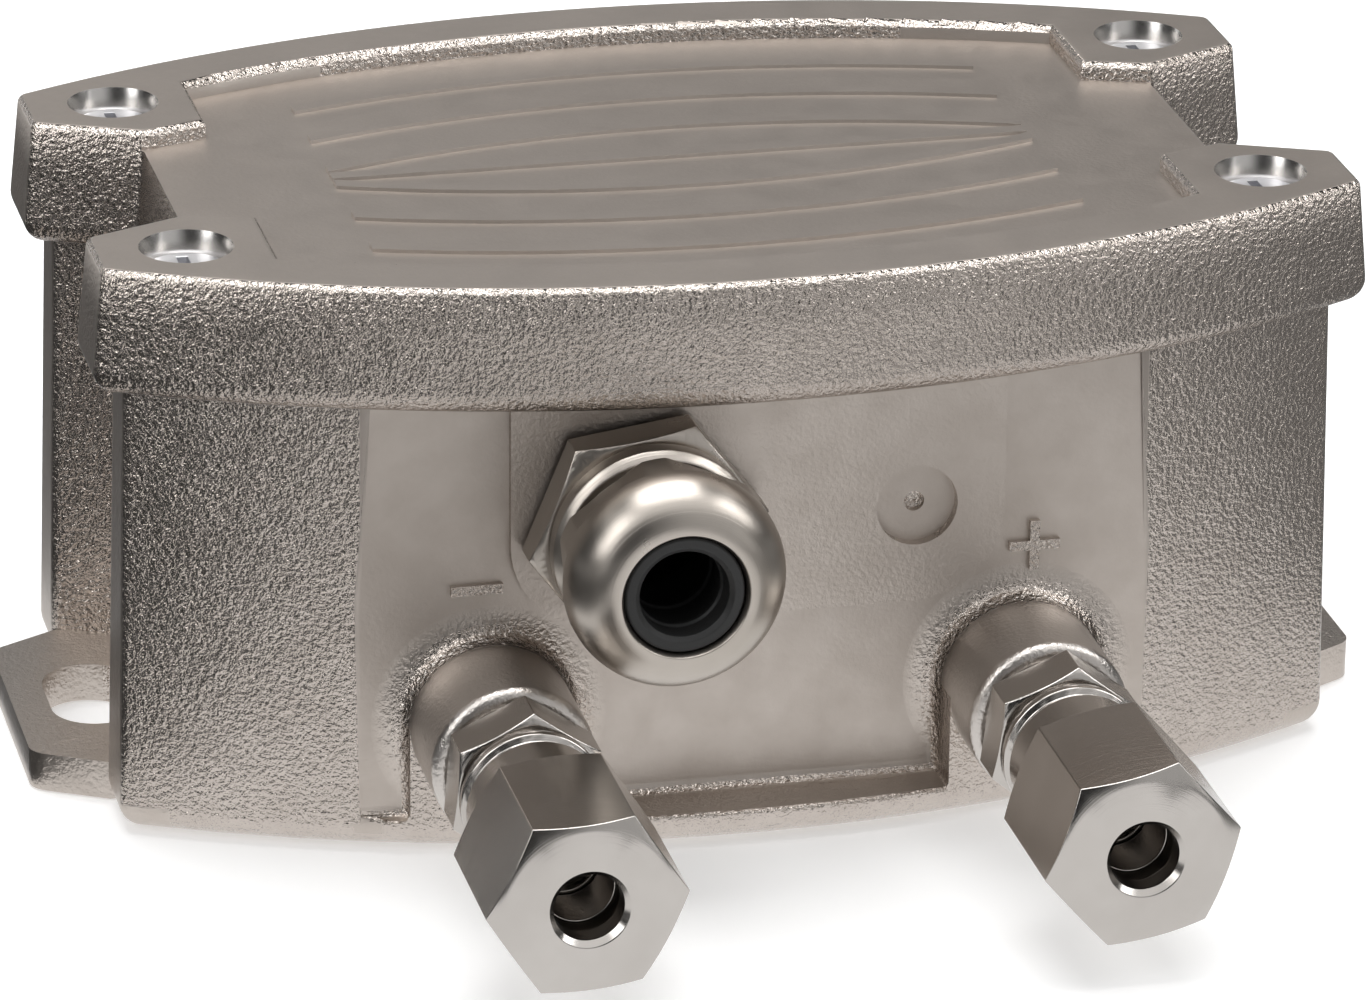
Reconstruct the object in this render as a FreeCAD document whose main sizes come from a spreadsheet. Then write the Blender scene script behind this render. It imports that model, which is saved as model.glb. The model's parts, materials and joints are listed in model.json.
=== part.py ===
"""Differential pressure transmitter in a barrel-shaped cast housing.

Frame: origin at the centre of the mounting face, +Z up to the lid, X along the housing, the two
pressure ports and the cable gland point along -Y. All sizes are millimetres.
"""
import FreeCAD, Part
import math
import os

import Sketcher
from FreeCAD import Placement, Rotation, Vector

# Driving dimensions: (alias, value, meaning). Every other length follows from these.
SIZES = (
    ("arc_offset", 95.0, "long-side arcs are centred this far beyond the middle plane"),
    ("lid_half_width", 41.5, "middle plane to the crown of the long side, at the lid's top"),
    ("lid_half_length", 63.5, "middle to the end faces, at the lid's top"),
    ("notch_depth", 10.8, "depth of the notch in each end"),
    ("notch_mouth", 16.6, "half width of the notch at the end face"),
    ("notch_floor", 12.0, "half width of the notch at its bottom"),
    ("lid_height", 13.0, "height of the lid's skirt"),
    ("lid_flare", 5.0, "slope of the lid's walls, degrees"),
    ("lid_rim", 7.2, "width of the raised rim along the long sides"),
    ("lid_field_depth", 2.0, "depth of the sunk field"),
    ("lid_plate", 4.0, "thickness of the lid under the field"),
    ("lid_block_length", 17.4, "length of the corner blocks round the screws"),
    ("lid_block_width", 14.1, "half width of the field between the corner blocks"),
    ("lid_lower_round", 2.5, "rounding of the skirt's lower edge"),
    ("lid_upper_round", 0.8, "rounding of the lid's upper edges"),
    ("rib_height", 0.5, "height of the low ribs on the field"),
    ("rib_width", 1.7, "width of the low ribs"),
    ("rib_pitch", 8.6, "distance from one rib to the next"),
    ("rib_margin", 10.1, "corner blocks to the ends of the ribs"),
    ("clear_gap", 0.3, "clearance between curved faces that do not guide each other"),
    ("lift_gap", 0.3, "radial clearance of a lid screw in the lid"),
    ("base_height", 47.0, "mounting face to the joint with the lid"),
    ("base_inset", 2.2, "step back from the lid's top outline, at the joint"),
    ("base_draft", 1.3, "slope of the base's walls, degrees"),
    ("base_round", 3.0, "rounding of the base's lower edge"),
    ("corner_round", 1.2, "rounding of the upright corners"),
    ("wall", 4.0, "wall and floor thickness"),
    ("facet_step", 7.9, "crown of the lid to the flat front facet"),
    ("ledge", 3.6, "height of the ledge under the facet"),
    ("root_round", 1.2, "hollow rounding where the facet meets ledge and pedestals"),
    ("ledge_round", 0.5, "rounding of the ledge's edge"),
    ("lug_reach", 5.8, "a lug's end beyond the lid's end face"),
    ("lug_half_width", 13.0, "half width of a lug at its end"),
    ("lug_thick", 4.0, "thickness of a lug"),
    ("lug_round", 2.5, "rounding of a lug's corners"),
    ("slot_margin", 8.3, "a lug's end to the centre of its slot"),
    ("slot_radius", 4.6, "half width of a mounting slot"),
    ("slot_length", 15.0, "length of a mounting slot, end to end"),
    ("pad_half_width", 25.0, "half width of the gland pad"),
    ("pad_margin", 10.8, "gland's axis to the pad's lower edge"),
    ("pad_corner", 9.0, "radius of the pad's lower corners"),
    ("pad_thick", 0.9, "height of the pad above the facet"),
    ("recess_drop", 0.7, "gland's axis to the recess's centre, downwards"),
    ("recess_radius", 4.15, "radius of the blind recess"),
    ("recess_depth", 1.2, "depth of the blind recess"),
    ("mark_gap", 3.3, "pad's edge to the middle of the plus and minus"),
    ("mark_rise", 13.8, "ports' axes to the plus and minus"),
    ("mark_length", 5.2, "length of a bar of the marks"),
    ("mark_width", 1.0, "width of a bar of the marks"),
    ("mark_relief", 0.6, "height of the marks above the facet"),
    ("port_place", 27.0, "middle to a port's axis"),
    ("port_height", 13.2, "mounting face to the ports' axes"),
    ("boss_radius", 8.2, "radius of a port boss"),
    ("boss_length", 12.7, "facet to the bosses' faces"),
    ("boss_round", 1.2, "rounding of the bosses' front edges"),
    ("screw_margin", 9.1, "end face of the lid to a lid screw"),
    ("screw_radius", 2.45, "radius of a lid screw's shank"),
    ("screw_head_radius", 4.2, "radius of a lid screw's head"),
    ("screw_head", 4.0, "height of a lid screw's head"),
    ("screw_sink", 2.0, "a lid screw's head below the lid's top"),
    ("screw_length", 24.0, "length of a lid screw under its head"),
    ("counterbore_radius", 4.65, "radius of the lid's counterbores"),
    ("gasket_edge", 0.8, "gasket's edge to the cavity"),
    ("gasket_width", 2.2, "width of the lid gasket"),
    ("gasket_thick", 1.2, "thickness of the lid gasket"),
    ("cavity_margin", 17.5, "end face of the lid to the cavity's end wall"),
    ("thread_gap", 0.05, "radial clearance of a stud in its bore"),
    ("turn_gap", 0.1, "radial clearance of a turning nut"),
    ("stud_radius", 5.95, "radius of a port adapter's stud"),
    ("stud_length", 10.0, "length of a port adapter's stud"),
    ("port_seal", 0.8, "thickness of a port's sealing washer"),
    ("port_hex", 14.0, "across flats of a port adapter"),
    ("port_hex_length", 5.2, "length of a port adapter's hexagon"),
    ("neck_radius", 6.9, "radius of a port adapter's threaded neck"),
    ("neck_end", 25.0, "boss face to the end of a port adapter"),
    ("tube_radius", 3.05, "radius of the socket for the 6 mm tube"),
    ("flow_radius", 1.4, "radius of the flow bore"),
    ("nut_flats", 17.0, "across flats of a union nut"),
    ("nut_start", 16.1, "boss face to the rear of a union nut"),
    ("nut_length", 16.4, "length of a union nut"),
    ("nut_bore", 3.35, "radius of a union nut's tube bore"),
    ("ring_radius", 5.5, "radius of a cutting ring's collar"),
    ("ring_nose", 3.1, "length of a cutting ring's conical nose"),
    ("ring_collar", 0.9, "thickness of a cutting ring's collar"),
    ("socket_depth", 6.0, "depth of the socket for the tube"),
    ("ring_mouth", 4.6, "radius of the cone that takes the cutting ring"),
    ("nipple_radius", 2.05, "radius of a hose nipple"),
    ("nipple_length", 13.8, "length of a hose nipple behind the stud"),
    ("hose_radius", 3.8, "outer radius of a hose"),
    ("hose_gap", 0.05, "hose bore to nipple, radially"),
    ("gland_place", 12.1, "middle to the gland's axis"),
    ("gland_drop", 13.9, "joint with the lid to the gland's axis"),
    ("gland_stud", 7.95, "radius of the gland's stud"),
    ("gland_stud_length", 7.5, "length of the gland's stud"),
    ("gland_seal", 0.8, "thickness of the gland's base ring"),
    ("gland_hex", 21.0, "across flats of the gland body"),
    ("gland_hex_length", 4.2, "length of the gland body's hexagon"),
    ("gland_collar_radius", 10.3, "radius of the collar behind the dome nut"),
    ("gland_collar_length", 3.0, "length of that collar"),
    ("gland_thread", 8.6, "radius of the gland body's front thread"),
    ("dome_start", 10.1, "pad face to the rear of the dome nut"),
    ("dome_length", 9.4, "length of the dome nut"),
    ("dome_flats", 20.0, "across flats of the dome nut"),
    ("dome_radius", 10.9, "radius to which the dome nut is turned"),
    ("dome_mouth", 6.05, "radius of the dome nut's mouth"),
    ("claw_length", 2.4, "length of the gland's clamping claw"),
    ("insert_wall", 2.6, "room for the sealing insert round its bore"),
    ("insert_bore", 4.05, "radius of the sealing insert's bore"),
    ("board_height", 21.0, "mounting face to the circuit board"),
    ("board_thick", 1.6, "thickness of the circuit board"),
    ("board_margin", 12.0, "cavity's end wall to the board"),
    ("board_front_gap", 19.6, "facet to the board's front edge"),
    ("board_rear_gap", 7.3, "crown of the cavity to the board's rear edge"),
    ("post_radius", 3.25, "radius of the cast board posts"),
    ("post_margin", 3.8, "board's edges to the posts"),
    ("small_screw", 1.45, "radius of a board screw's shank"),
    ("small_head", 2.7, "radius of a board screw's head"),
    ("small_head_height", 1.8, "height of a board screw's head"),
    ("small_screw_length", 9.0, "length of a board screw's shank"),
    ("slot_width", 0.7, "width of the slots in the small screws"),
    ("sensor_half_length", 12.0, "half length of the pressure sensor"),
    ("sensor_front", 4.0, "middle plane to the sensor's front, towards the rear"),
    ("sensor_depth", 18.0, "depth of the pressure sensor"),
    ("sensor_thick", 12.0, "height of the pressure sensor"),
    ("sensor_port", 6.0, "middle to a nipple of the sensor"),
    ("terminal_place", 13.5, "middle to the terminal block's centre"),
    ("terminal_pitch", 5.08, "distance from one terminal to the next"),
    ("terminal_depth", 10.0, "depth of the terminal block"),
    ("terminal_inset", 2.0, "board's front edge to the terminal block"),
    ("terminal_mouth", 3.2, "side of a terminal's wire opening"),
    ("terminal_well", 3.5, "depth of a terminal's screw well"),
    ("terminal_screw", 1.7, "radius of a terminal screw"),
    ("terminal_head", 2.0, "height of a terminal screw's head"),
    ("terminal_height", 10.0, "height of the terminal block"),
    ("earth_margin", 6.0, "cavity's end wall to the earth post"),
    ("earth_side", 8.0, "middle plane to the earth post"),
    ("earth_height", 18.0, "mounting face to the top of the earth post"),
    ("earth_plate", 1.2, "thickness of the earth clamp plate"),
    ("earth_screw", 1.95, "radius of the earth screw's shank"),
)
TERMINALS = 5
CLAW_FINGERS = 8


class Size:
    """A length that carries its number and the sheet expression that gives it."""

    def __init__(self, number, text):
        self.number = float(number)
        self.text = text

    def join(self, other, sign, number):
        return Size(number, "(" + self.text + sign + other.text + ")")

    def __add__(self, other):
        other = as_size(other)
        return self.join(other, " + ", self.number + other.number)

    def __sub__(self, other):
        other = as_size(other)
        return self.join(other, " - ", self.number - other.number)

    def __mul__(self, other):
        other = as_size(other)
        return self.join(other, " * ", self.number * other.number)

    def __truediv__(self, other):
        other = as_size(other)
        return self.join(other, " / ", self.number / other.number)

    def __neg__(self):
        return as_size(0) - self

    def __radd__(self, other):
        return as_size(other) + self

    def __rsub__(self, other):
        return as_size(other) - self

    def __rmul__(self, other):
        return as_size(other) * self


def as_size(value):
    """A plain number as a Size."""
    if isinstance(value, Size):
        return value
    return Size(value, repr(float(value)))


def root(value):
    """Square root of a Size."""
    return Size(math.sqrt(value.number), "sqrt(" + value.text + ")")


def slope(angle):
    """Tangent of a sheet angle in degrees."""
    return Size(math.tan(math.radians(angle.number)), "tan(" + angle.text + " * 1deg)")


doc = FreeCAD.newDocument("pressure_transmitter")
sheet = doc.addObject("Spreadsheet::Sheet", "sizes")


class Sizes:
    """The driving dimensions by name, as in size.wall."""


size = Sizes()
for row, (alias, value, meaning) in enumerate(SIZES, start=1):
    sheet.set("A%d" % row, meaning)
    sheet.set("B%d" % row, str(value))
    sheet.setAlias("B%d" % row, alias)
    setattr(size, alias, Size(value, "sizes." + alias))
doc.recompute()

# ---------------------------------------------------------------- drawing helpers
HEX_CORNER = 2 / math.sqrt(3)
PIECES = []


def new_piece(name):
    """An empty PartDesign body that becomes one node."""
    body = doc.addObject("PartDesign::Body", name)
    body.Label = name
    PIECES.append(body)
    return body


def bind(target, prop, value):
    """Bind a property to a Size."""
    value = as_size(value)
    target.setExpression(prop, value.text)


def place(target, x=0, y=0, z=0, rotation=None):
    """Put a piece at a point, with its position bound to the sheet."""
    x, y, z = as_size(x), as_size(y), as_size(z)
    target.Placement = Placement(Vector(x.number, y.number, z.number), rotation or Rotation())
    bind(target, "Placement.Base.x", x)
    bind(target, "Placement.Base.y", y)
    bind(target, "Placement.Base.z", z)


def new_sketch(body, role, height=0):
    """A sketch on one of the body's own planes, moved along the plane's normal."""
    sketch = body.newObject("Sketcher::SketchObject", body.Name + "_sketch")
    planes = [item for item in body.Origin.OriginFeatures if item.Role == role]
    sketch.AttachmentSupport = [(planes[0], "")]
    sketch.MapMode = "FlatFace"
    height = as_size(height)
    sketch.AttachmentOffset = Placement(Vector(0, 0, height.number), Rotation())
    bind(sketch, "AttachmentOffset.Base.z", height)
    return sketch


def fix_value(sketch, kind, curve, end, value):
    """Dimension one coordinate of a curve's point from the sketch's origin."""
    index = sketch.addConstraint(Sketcher.Constraint(kind, curve, end, value.number))
    bind(sketch, "Constraints[%d]" % index, value)


def fix_point(sketch, curve, end, x, y):
    """Dimension both coordinates of a curve's point."""
    fix_value(sketch, "DistanceX", curve, end, x)
    fix_value(sketch, "DistanceY", curve, end, y)


def add_curve(sketch, first, last, arc=None):
    """A line, or an arc given as (centre x, centre y, turns_left): its number, start and end."""
    if arc is None:
        return sketch.addGeometry(Part.LineSegment(first, last), False), 1, 2
    centre_x, centre_y, turns_left = arc
    centre = Vector(as_size(centre_x).number, as_size(centre_y).number, 0)
    circle = Part.Circle(centre, Vector(0, 0, 1), centre.distanceToPoint(first))
    ends = (first, last) if turns_left else (last, first)
    angles = [math.atan2(point.y - centre.y, point.x - centre.x) for point in ends]
    if angles[1] < angles[0]:
        angles[1] += 2 * math.pi
    curve = sketch.addGeometry(Part.ArcOfCircle(circle, angles[0], angles[1]), False)
    return (curve, 1, 2) if turns_left else (curve, 2, 1)


def add_loop(sketch, corners, arcs=None):
    """A closed outline. arcs: corner number -> (centre x, centre y, turns_left)."""
    arcs = arcs or {}
    corners = [(as_size(x), as_size(y)) for x, y in corners]
    following = corners[1:] + corners[:1]
    curves = []
    for number, ((x, y), (end_x, end_y)) in enumerate(zip(corners, following)):
        first = Vector(x.number, y.number, 0)
        last = Vector(end_x.number, end_y.number, 0)
        curves.append(add_curve(sketch, first, last, arcs.get(number)))
    for (curve, start, end), (other, other_start, other_end) in zip(curves, curves[1:] + curves[:1]):
        sketch.addConstraint(Sketcher.Constraint("Coincident", curve, end, other, other_start))
    for number, (curve, start, end) in enumerate(curves):
        x, y = corners[number]
        fix_point(sketch, curve, start, x, y)
        if number in arcs:
            end_x, end_y = following[number]
            flat = abs(end_x.number - x.number) >= abs(end_y.number - y.number)
            kind, value = ("DistanceY", arcs[number][1]) if flat else ("DistanceX", arcs[number][0])
            fix_value(sketch, kind, curve, 3, as_size(value))


def add_circle(sketch, x, y, radius):
    """A circle with its centre and radius dimensioned."""
    x, y, radius = as_size(x), as_size(y), as_size(radius)
    circle = Part.Circle(Vector(x.number, y.number, 0), Vector(0, 0, 1), radius.number)
    curve = sketch.addGeometry(circle, False)
    fix_point(sketch, curve, 3, x, y)
    index = sketch.addConstraint(Sketcher.Constraint("Radius", curve, radius.number))
    bind(sketch, "Constraints[%d]" % index, radius)


def add_box(sketch, left, right, low, high):
    """A rectangle between two x and two y values."""
    add_loop(sketch, [(left, low), (right, low), (right, high), (left, high)])


def add_hexagon(sketch, flats, turned=False):
    """A hexagon round the sketch's origin, by its width across flats."""
    corners = []
    for step in range(6):
        angle = math.radians(60 * step + (30 if turned else 0))
        corners.append((flats * (HEX_CORNER / 2 * math.cos(angle)),
                        flats * (HEX_CORNER / 2 * math.sin(angle))))
    add_loop(sketch, corners)


def volume(body):
    """Volume of a body's present shape."""
    doc.recompute()
    return body.Shape.Volume


def add_path(sketch, points, arcs):
    """An open line through points. arcs: point number -> (centre x, centre y, turns_left)."""
    points = [(as_size(x), as_size(y)) for x, y in points]
    curves = []
    for number, ((x, y), (end_x, end_y)) in enumerate(zip(points, points[1:])):
        first = Vector(x.number, y.number, 0)
        last = Vector(end_x.number, end_y.number, 0)
        curves.append(add_curve(sketch, first, last, arcs.get(number)))
    for number, (curve, start, end) in enumerate(curves):
        fix_point(sketch, curve, start, *points[number])
        if number in arcs:
            fix_value(sketch, "DistanceX", curve, 3, as_size(arcs[number][0]))
        if number + 1 < len(curves):
            following, following_start = curves[number + 1][:2]
            sketch.addConstraint(Sketcher.Constraint("Coincident", curve, end, following,
                                                     following_start))
        else:
            fix_point(sketch, curve, end, *points[-1])


def check_change(body, feature, before, adds):
    """Make sure that a feature added or took away material."""
    change = volume(body) - before
    if "Invalid" in feature.State or (change if adds else -change) < 0.001:
        raise ValueError("%s changed the volume by %.3f" % (feature.Label, change))


def extrude(body, kind, sketch, length, reverse=False):
    """Pad or pocket a sketch and make sure that it changed the body."""
    before = volume(body) if body.Tip and not body.Tip.isDerivedFrom("Sketcher::SketchObject") else 0
    feature = body.newObject("PartDesign::" + kind, body.Name + "_" + kind.lower())
    feature.Profile = sketch
    feature.Reversed = reverse
    bind(feature, "Length", length)
    check_change(body, feature, before, kind == "Pad")
    return feature


def turn(body, kind, corners, arcs=None):
    """Revolve or groove a half profile (radius, height) about the body's Z axis."""
    before = volume(body) if body.Tip else 0
    sketch = new_sketch(body, "XZ_Plane")
    add_loop(sketch, corners, arcs)
    feature = body.newObject("PartDesign::" + kind, body.Name + "_" + kind.lower())
    feature.Profile = sketch
    feature.ReferenceAxis = (sketch, ["V_Axis"])
    feature.Angle = 360
    check_change(body, feature, before, kind == "Revolution")
    return feature


def dress(body, kind, amount, wanted):
    """Fillet or chamfer the edges of the tip whose middle point and edge pass the test."""
    doc.recompute()
    tip = body.Tip
    names = []
    for number, edge in enumerate(tip.Shape.Edges, start=1):
        middle = edge.valueAt((edge.FirstParameter + edge.LastParameter) / 2)
        if wanted(middle, edge):
            names.append("Edge%d" % number)
    if not names:
        raise ValueError("no edges to dress on " + body.Label)
    feature = body.newObject("PartDesign::" + kind, body.Name + "_" + kind.lower())
    feature.Base = (tip, names)
    bind(feature, "Radius" if kind == "Fillet" else "Size", amount)
    doc.recompute()
    if "Invalid" in feature.State or feature.Shape.isNull():
        raise ValueError("%s failed on %s" % (kind, body.Label))
    return feature


def slant_sides(body, angle):
    """Widen a body's upright faces downwards from its top face."""
    doc.recompute()
    tip = body.Tip
    sides, tops = [], []
    for number, face in enumerate(tip.Shape.Faces, start=1):
        first_u, last_u, first_v, last_v = face.ParameterRange
        normal = face.normalAt((first_u + last_u) / 2, (first_v + last_v) / 2)
        if abs(normal.z) < 0.5:
            sides.append("Face%d" % number)
        elif normal.z > 0:
            tops.append("Face%d" % number)
    before = body.Shape.Volume
    feature = body.newObject("PartDesign::Draft", body.Name + "_draft")
    feature.Base = (tip, sides)
    feature.NeutralPlane = (tip, tops)
    bind(feature, "Angle", angle)
    check_change(body, feature, before, True)


def upright(edge):
    """Whether an edge is a nearly upright straight line."""
    return edge.BoundBox.ZLength > 0.9 * edge.Length


def level(edge, height):
    """Whether an edge lies wholly at one height."""
    box = edge.BoundBox
    return abs(box.ZMin - height.number) < 0.01 and abs(box.ZMax - height.number) < 0.01


# ---------------------------------------------------------------- places that follow from the sizes
def arc_y(half_width, x):
    """Height of a long-side arc above the middle plane at one x."""
    radius = size.arc_offset + half_width
    return root(radius * radius - x * x) - size.arc_offset


lid_top = size.base_height + size.lid_height
facet = size.lid_half_width - size.facet_step
boss_face = facet + size.boss_length
lug_length = size.lid_half_length + size.lug_reach
slot_centre = lug_length - size.slot_margin
screw_place = size.lid_half_length - size.screw_margin
screw_side = (size.notch_mouth + arc_y(size.lid_half_width, size.lid_half_length)) / 2
gland_height = size.base_height - size.gland_drop
pad_face = facet + size.pad_thick
cavity_half_width = size.lid_half_width - size.base_inset - size.wall
cavity_half_length = size.lid_half_length - size.cavity_margin
board_half_length = cavity_half_length - size.board_margin
board_front = facet - size.board_front_gap
board_rear = cavity_half_width - size.board_rear_gap
board_top = size.board_height + size.board_thick
earth_place = cavity_half_length - size.earth_margin
pad_bottom = gland_height - size.pad_margin
recess_place = size.pad_half_width - size.pad_corner
recess_height = gland_height - size.recess_drop
mark_place = size.pad_half_width + size.mark_gap
mark_height = size.port_height + size.mark_rise


# ---------------------------------------------------------------- shared outlines

def add_barrel(sketch, inset):
    """The housing's outline: two long arcs and a notched end on each side."""
    half_width = size.lid_half_width - inset
    length = size.lid_half_length - inset
    drop = size.notch_mouth - size.notch_floor
    spread = inset * (root(size.notch_depth * size.notch_depth + drop * drop) - drop) / size.notch_depth
    mouth = size.notch_mouth + spread
    floor = size.notch_floor + spread
    end = size.lid_half_length - size.notch_depth - inset
    corner = arc_y(half_width, length)
    right = [(length, -corner), (length, -mouth), (end, -floor), (end, floor), (length, mouth),
             (length, corner)]
    left = [(-x, -y) for x, y in right]
    add_loop(sketch, right + left,
             {5: (0, -size.arc_offset, True), 11: (0, size.arc_offset, True)})


def add_cavity(sketch, outset):
    """The cavity's outline, grown outwards by outset."""
    half_width = cavity_half_width + outset
    radius = size.arc_offset + half_width
    end = cavity_half_length + outset
    corner = arc_y(half_width, end)
    front = facet - size.wall + outset
    reach = front + size.arc_offset
    meet = root(radius * radius - reach * reach)
    corners = [(end, -corner), (end, corner), (-end, corner), (-end, -corner), (-meet, -front),
               (meet, -front)]
    add_loop(sketch, corners, {1: (0, -size.arc_offset, True), 3: (0, size.arc_offset, True),
                               5: (0, size.arc_offset, True)})


def screw_places():
    """Names and positions of the four lid screws."""
    return (("front_left", -screw_place, -screw_side),
            ("front_right", screw_place, -screw_side),
            ("rear_left", -screw_place, screw_side),
            ("rear_right", screw_place, screw_side))


def post_places():
    """Positions of the board posts."""
    across = board_half_length - size.post_margin
    front, rear = board_front - size.post_margin, board_rear - size.post_margin
    return ((-across, -front), (across, -front), (-across, rear), (across, rear))


# ---------------------------------------------------------------- housing
front_post = Rotation(Vector(1, 0, 0), 90)


def make_housing():
    """The cast housing with bosses, lugs, gland pad, cavity and board posts."""
    body = new_piece("housing_base")
    outline = new_sketch(body, "XY_Plane", size.base_height)
    add_barrel(outline, size.base_inset)
    extrude(body, "Pad", outline, size.base_height, reverse=True)
    slant_sides(body, size.base_draft)
    dress(body, "Fillet", size.corner_round, lambda at, edge: upright(edge))
    dress(body, "Fillet", size.base_round, lambda at, edge: level(edge, as_size(0)))
    flat = new_sketch(body, "XZ_Plane", facet)
    add_facet(flat)
    extrude(body, "Pocket", flat, size.lid_half_width / 2, reverse=True)
    dress(body, "Fillet", size.root_round, facet_root)
    dress(body, "Fillet", size.ledge_round,
          lambda at, edge: level(edge, size.ledge) and at.y < -facet.number - size.root_round.number)
    add_lugs(body)
    add_bosses(body)
    add_gland_pad(body)
    add_cast_marks(body)
    add_inside(body)
    return body


def facet_root(at, edge):
    """Whether an edge is a hollow one between facet, ledge and pedestals."""
    box = edge.BoundBox
    if abs(box.YMin + facet.number) > 0.01 or abs(box.YMax + facet.number) > 0.01:
        return False
    if box.ZMax > size.base_height.number - 1:
        return False
    return not upright(edge) or abs(at.x) < size.port_place.number + size.boss_radius.number + 1


def add_facet(sketch):
    """Area cut flat at the front: everything but the two arched pedestals."""
    reach, low, high = 60, size.ledge, size.base_height + 5
    corners = [(-reach, low)]
    arcs = {}
    for side in (-1, 1):
        left = side * size.port_place - size.boss_radius
        right = side * size.port_place + size.boss_radius
        corners += [(left, low), (left, size.port_height)]
        arcs[len(corners) - 1] = (side * size.port_place, size.port_height, False)
        corners += [(right, size.port_height), (right, low)]
    corners += [(reach, low), (reach, high), (-reach, high)]
    add_loop(sketch, corners, arcs)


def add_lugs(body):
    """The two slotted mounting lugs that fill the feet of the notches."""
    inner, outer = slot_centre - 11, slot_centre + 1
    shoulder = size.lug_half_width + 4
    for side in (-1, 1):
        sketch = new_sketch(body, "XY_Plane")
        add_loop(sketch, [(side * inner, -shoulder), (side * outer, -shoulder),
                          (side * lug_length, -size.lug_half_width),
                          (side * lug_length, size.lug_half_width),
                          (side * outer, shoulder), (side * inner, shoulder)])
        extrude(body, "Pad", sketch, size.lug_thick)
    dress(body, "Fillet", size.lug_round,
          lambda at, edge: upright(edge) and abs(at.x) > lug_length.number - 0.1)
    for side in (-1, 1):
        sketch = new_sketch(body, "XY_Plane")
        half = size.slot_length / 2 - size.slot_radius
        left = side * slot_centre - size.slot_radius
        right = side * slot_centre + size.slot_radius
        centre = side * slot_centre
        add_loop(sketch, [(right, -half), (right, half), (left, half), (left, -half)],
                 {1: (centre, half, True), 3: (centre, -half, True)})
        extrude(body, "Pocket", sketch, size.lug_thick + 1, reverse=True)


def add_bosses(body):
    """The two port bosses with their threaded and plain bores."""
    sketch = new_sketch(body, "XZ_Plane", facet - 1)
    for side in (-1, 1):
        add_circle(sketch, side * size.port_place, size.port_height, size.boss_radius)
    extrude(body, "Pad", sketch, boss_face - facet + 1)
    dress(body, "Fillet", size.boss_round,
          lambda at, edge: abs(at.y + boss_face.number) < 0.01)


def add_gland_pad(body):
    """The raised pad for the cable gland, with the blind recess beside it."""
    half, low, high = size.pad_half_width, pad_bottom, size.base_height
    inner, bend = half - size.pad_corner, low + size.pad_corner
    sketch = new_sketch(body, "XZ_Plane", facet - 1)
    add_loop(sketch, [(-inner, low), (inner, low), (half, bend), (half, high), (-half, high),
                      (-half, bend)],
             {1: (inner, bend, True), 5: (-inner, bend, True)})
    extrude(body, "Pad", sketch, size.pad_thick + 1)
    face = facet + size.pad_thick
    recess = new_sketch(body, "XZ_Plane", face)
    add_circle(recess, recess_place, recess_height, size.recess_radius)
    extrude(body, "Pocket", recess, size.recess_depth)
    dimple = new_sketch(body, "XZ_Plane", face - size.recess_depth)
    add_circle(dimple, recess_place, recess_height, size.recess_radius / 4)
    extrude(body, "Pocket", dimple, size.recess_depth / 2)
    bore = new_sketch(body, "XZ_Plane", face)
    add_circle(bore, -size.gland_place, gland_height, size.gland_stud + size.thread_gap)
    extrude(body, "Pocket", bore, size.wall * 2)


def add_cast_marks(body):
    """The plus and minus beside the ports."""
    long, wide = size.mark_length / 2, size.mark_width / 2
    x, z = mark_place, mark_height
    sketch = new_sketch(body, "XZ_Plane", facet - 1)
    plus = [(long, wide), (wide, wide), (wide, long), (-wide, long), (-wide, wide), (-long, wide),
            (-long, -wide), (-wide, -wide), (-wide, -long), (wide, -long), (wide, -wide),
            (long, -wide)]
    add_loop(sketch, [(x + step_x, z + step_z) for step_x, step_z in plus])
    add_box(sketch, -x - long, -x + long, z - wide, z + wide)
    extrude(body, "Pad", sketch, size.mark_relief + 1)


def add_inside(body):
    """Cavity, port bores, screw holes, board posts and earth post."""
    cavity = new_sketch(body, "XY_Plane", size.base_height)
    add_cavity(cavity, 0)
    extrude(body, "Pocket", cavity, size.base_height - size.wall)
    for radius, depth in ((size.stud_radius + size.thread_gap, size.stud_length + 1.5),
                          (size.stud_radius - 1.5, boss_face)):
        bore = new_sketch(body, "XZ_Plane", boss_face)
        for side in (-1, 1):
            add_circle(bore, side * size.port_place, size.port_height, radius)
        extrude(body, "Pocket", bore, depth)
    posts = new_sketch(body, "XY_Plane", size.wall - 1)
    for x, y in post_places():
        add_circle(posts, x, y, size.post_radius)
    extrude(body, "Pad", posts, size.board_height - size.wall + 1)
    earth = new_sketch(body, "XY_Plane", size.wall - 1)
    add_circle(earth, -earth_place, -size.earth_side, size.post_radius + 1)
    extrude(body, "Pad", earth, size.earth_height - size.wall + 1)
    for height, places, radius, depth in (
            (size.base_height, [place_of[1:] for place_of in screw_places()],
             size.screw_radius, size.screw_length - size.screw_sink),
            (size.board_height, post_places(), size.small_screw, size.small_screw_length),
            (size.earth_height, [(-earth_place, -size.earth_side)], size.earth_screw, 10)):
        holes = new_sketch(body, "XY_Plane", height)
        for x, y in places:
            add_circle(holes, x, y, radius + size.thread_gap)
        extrude(body, "Pocket", holes, depth)


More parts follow.
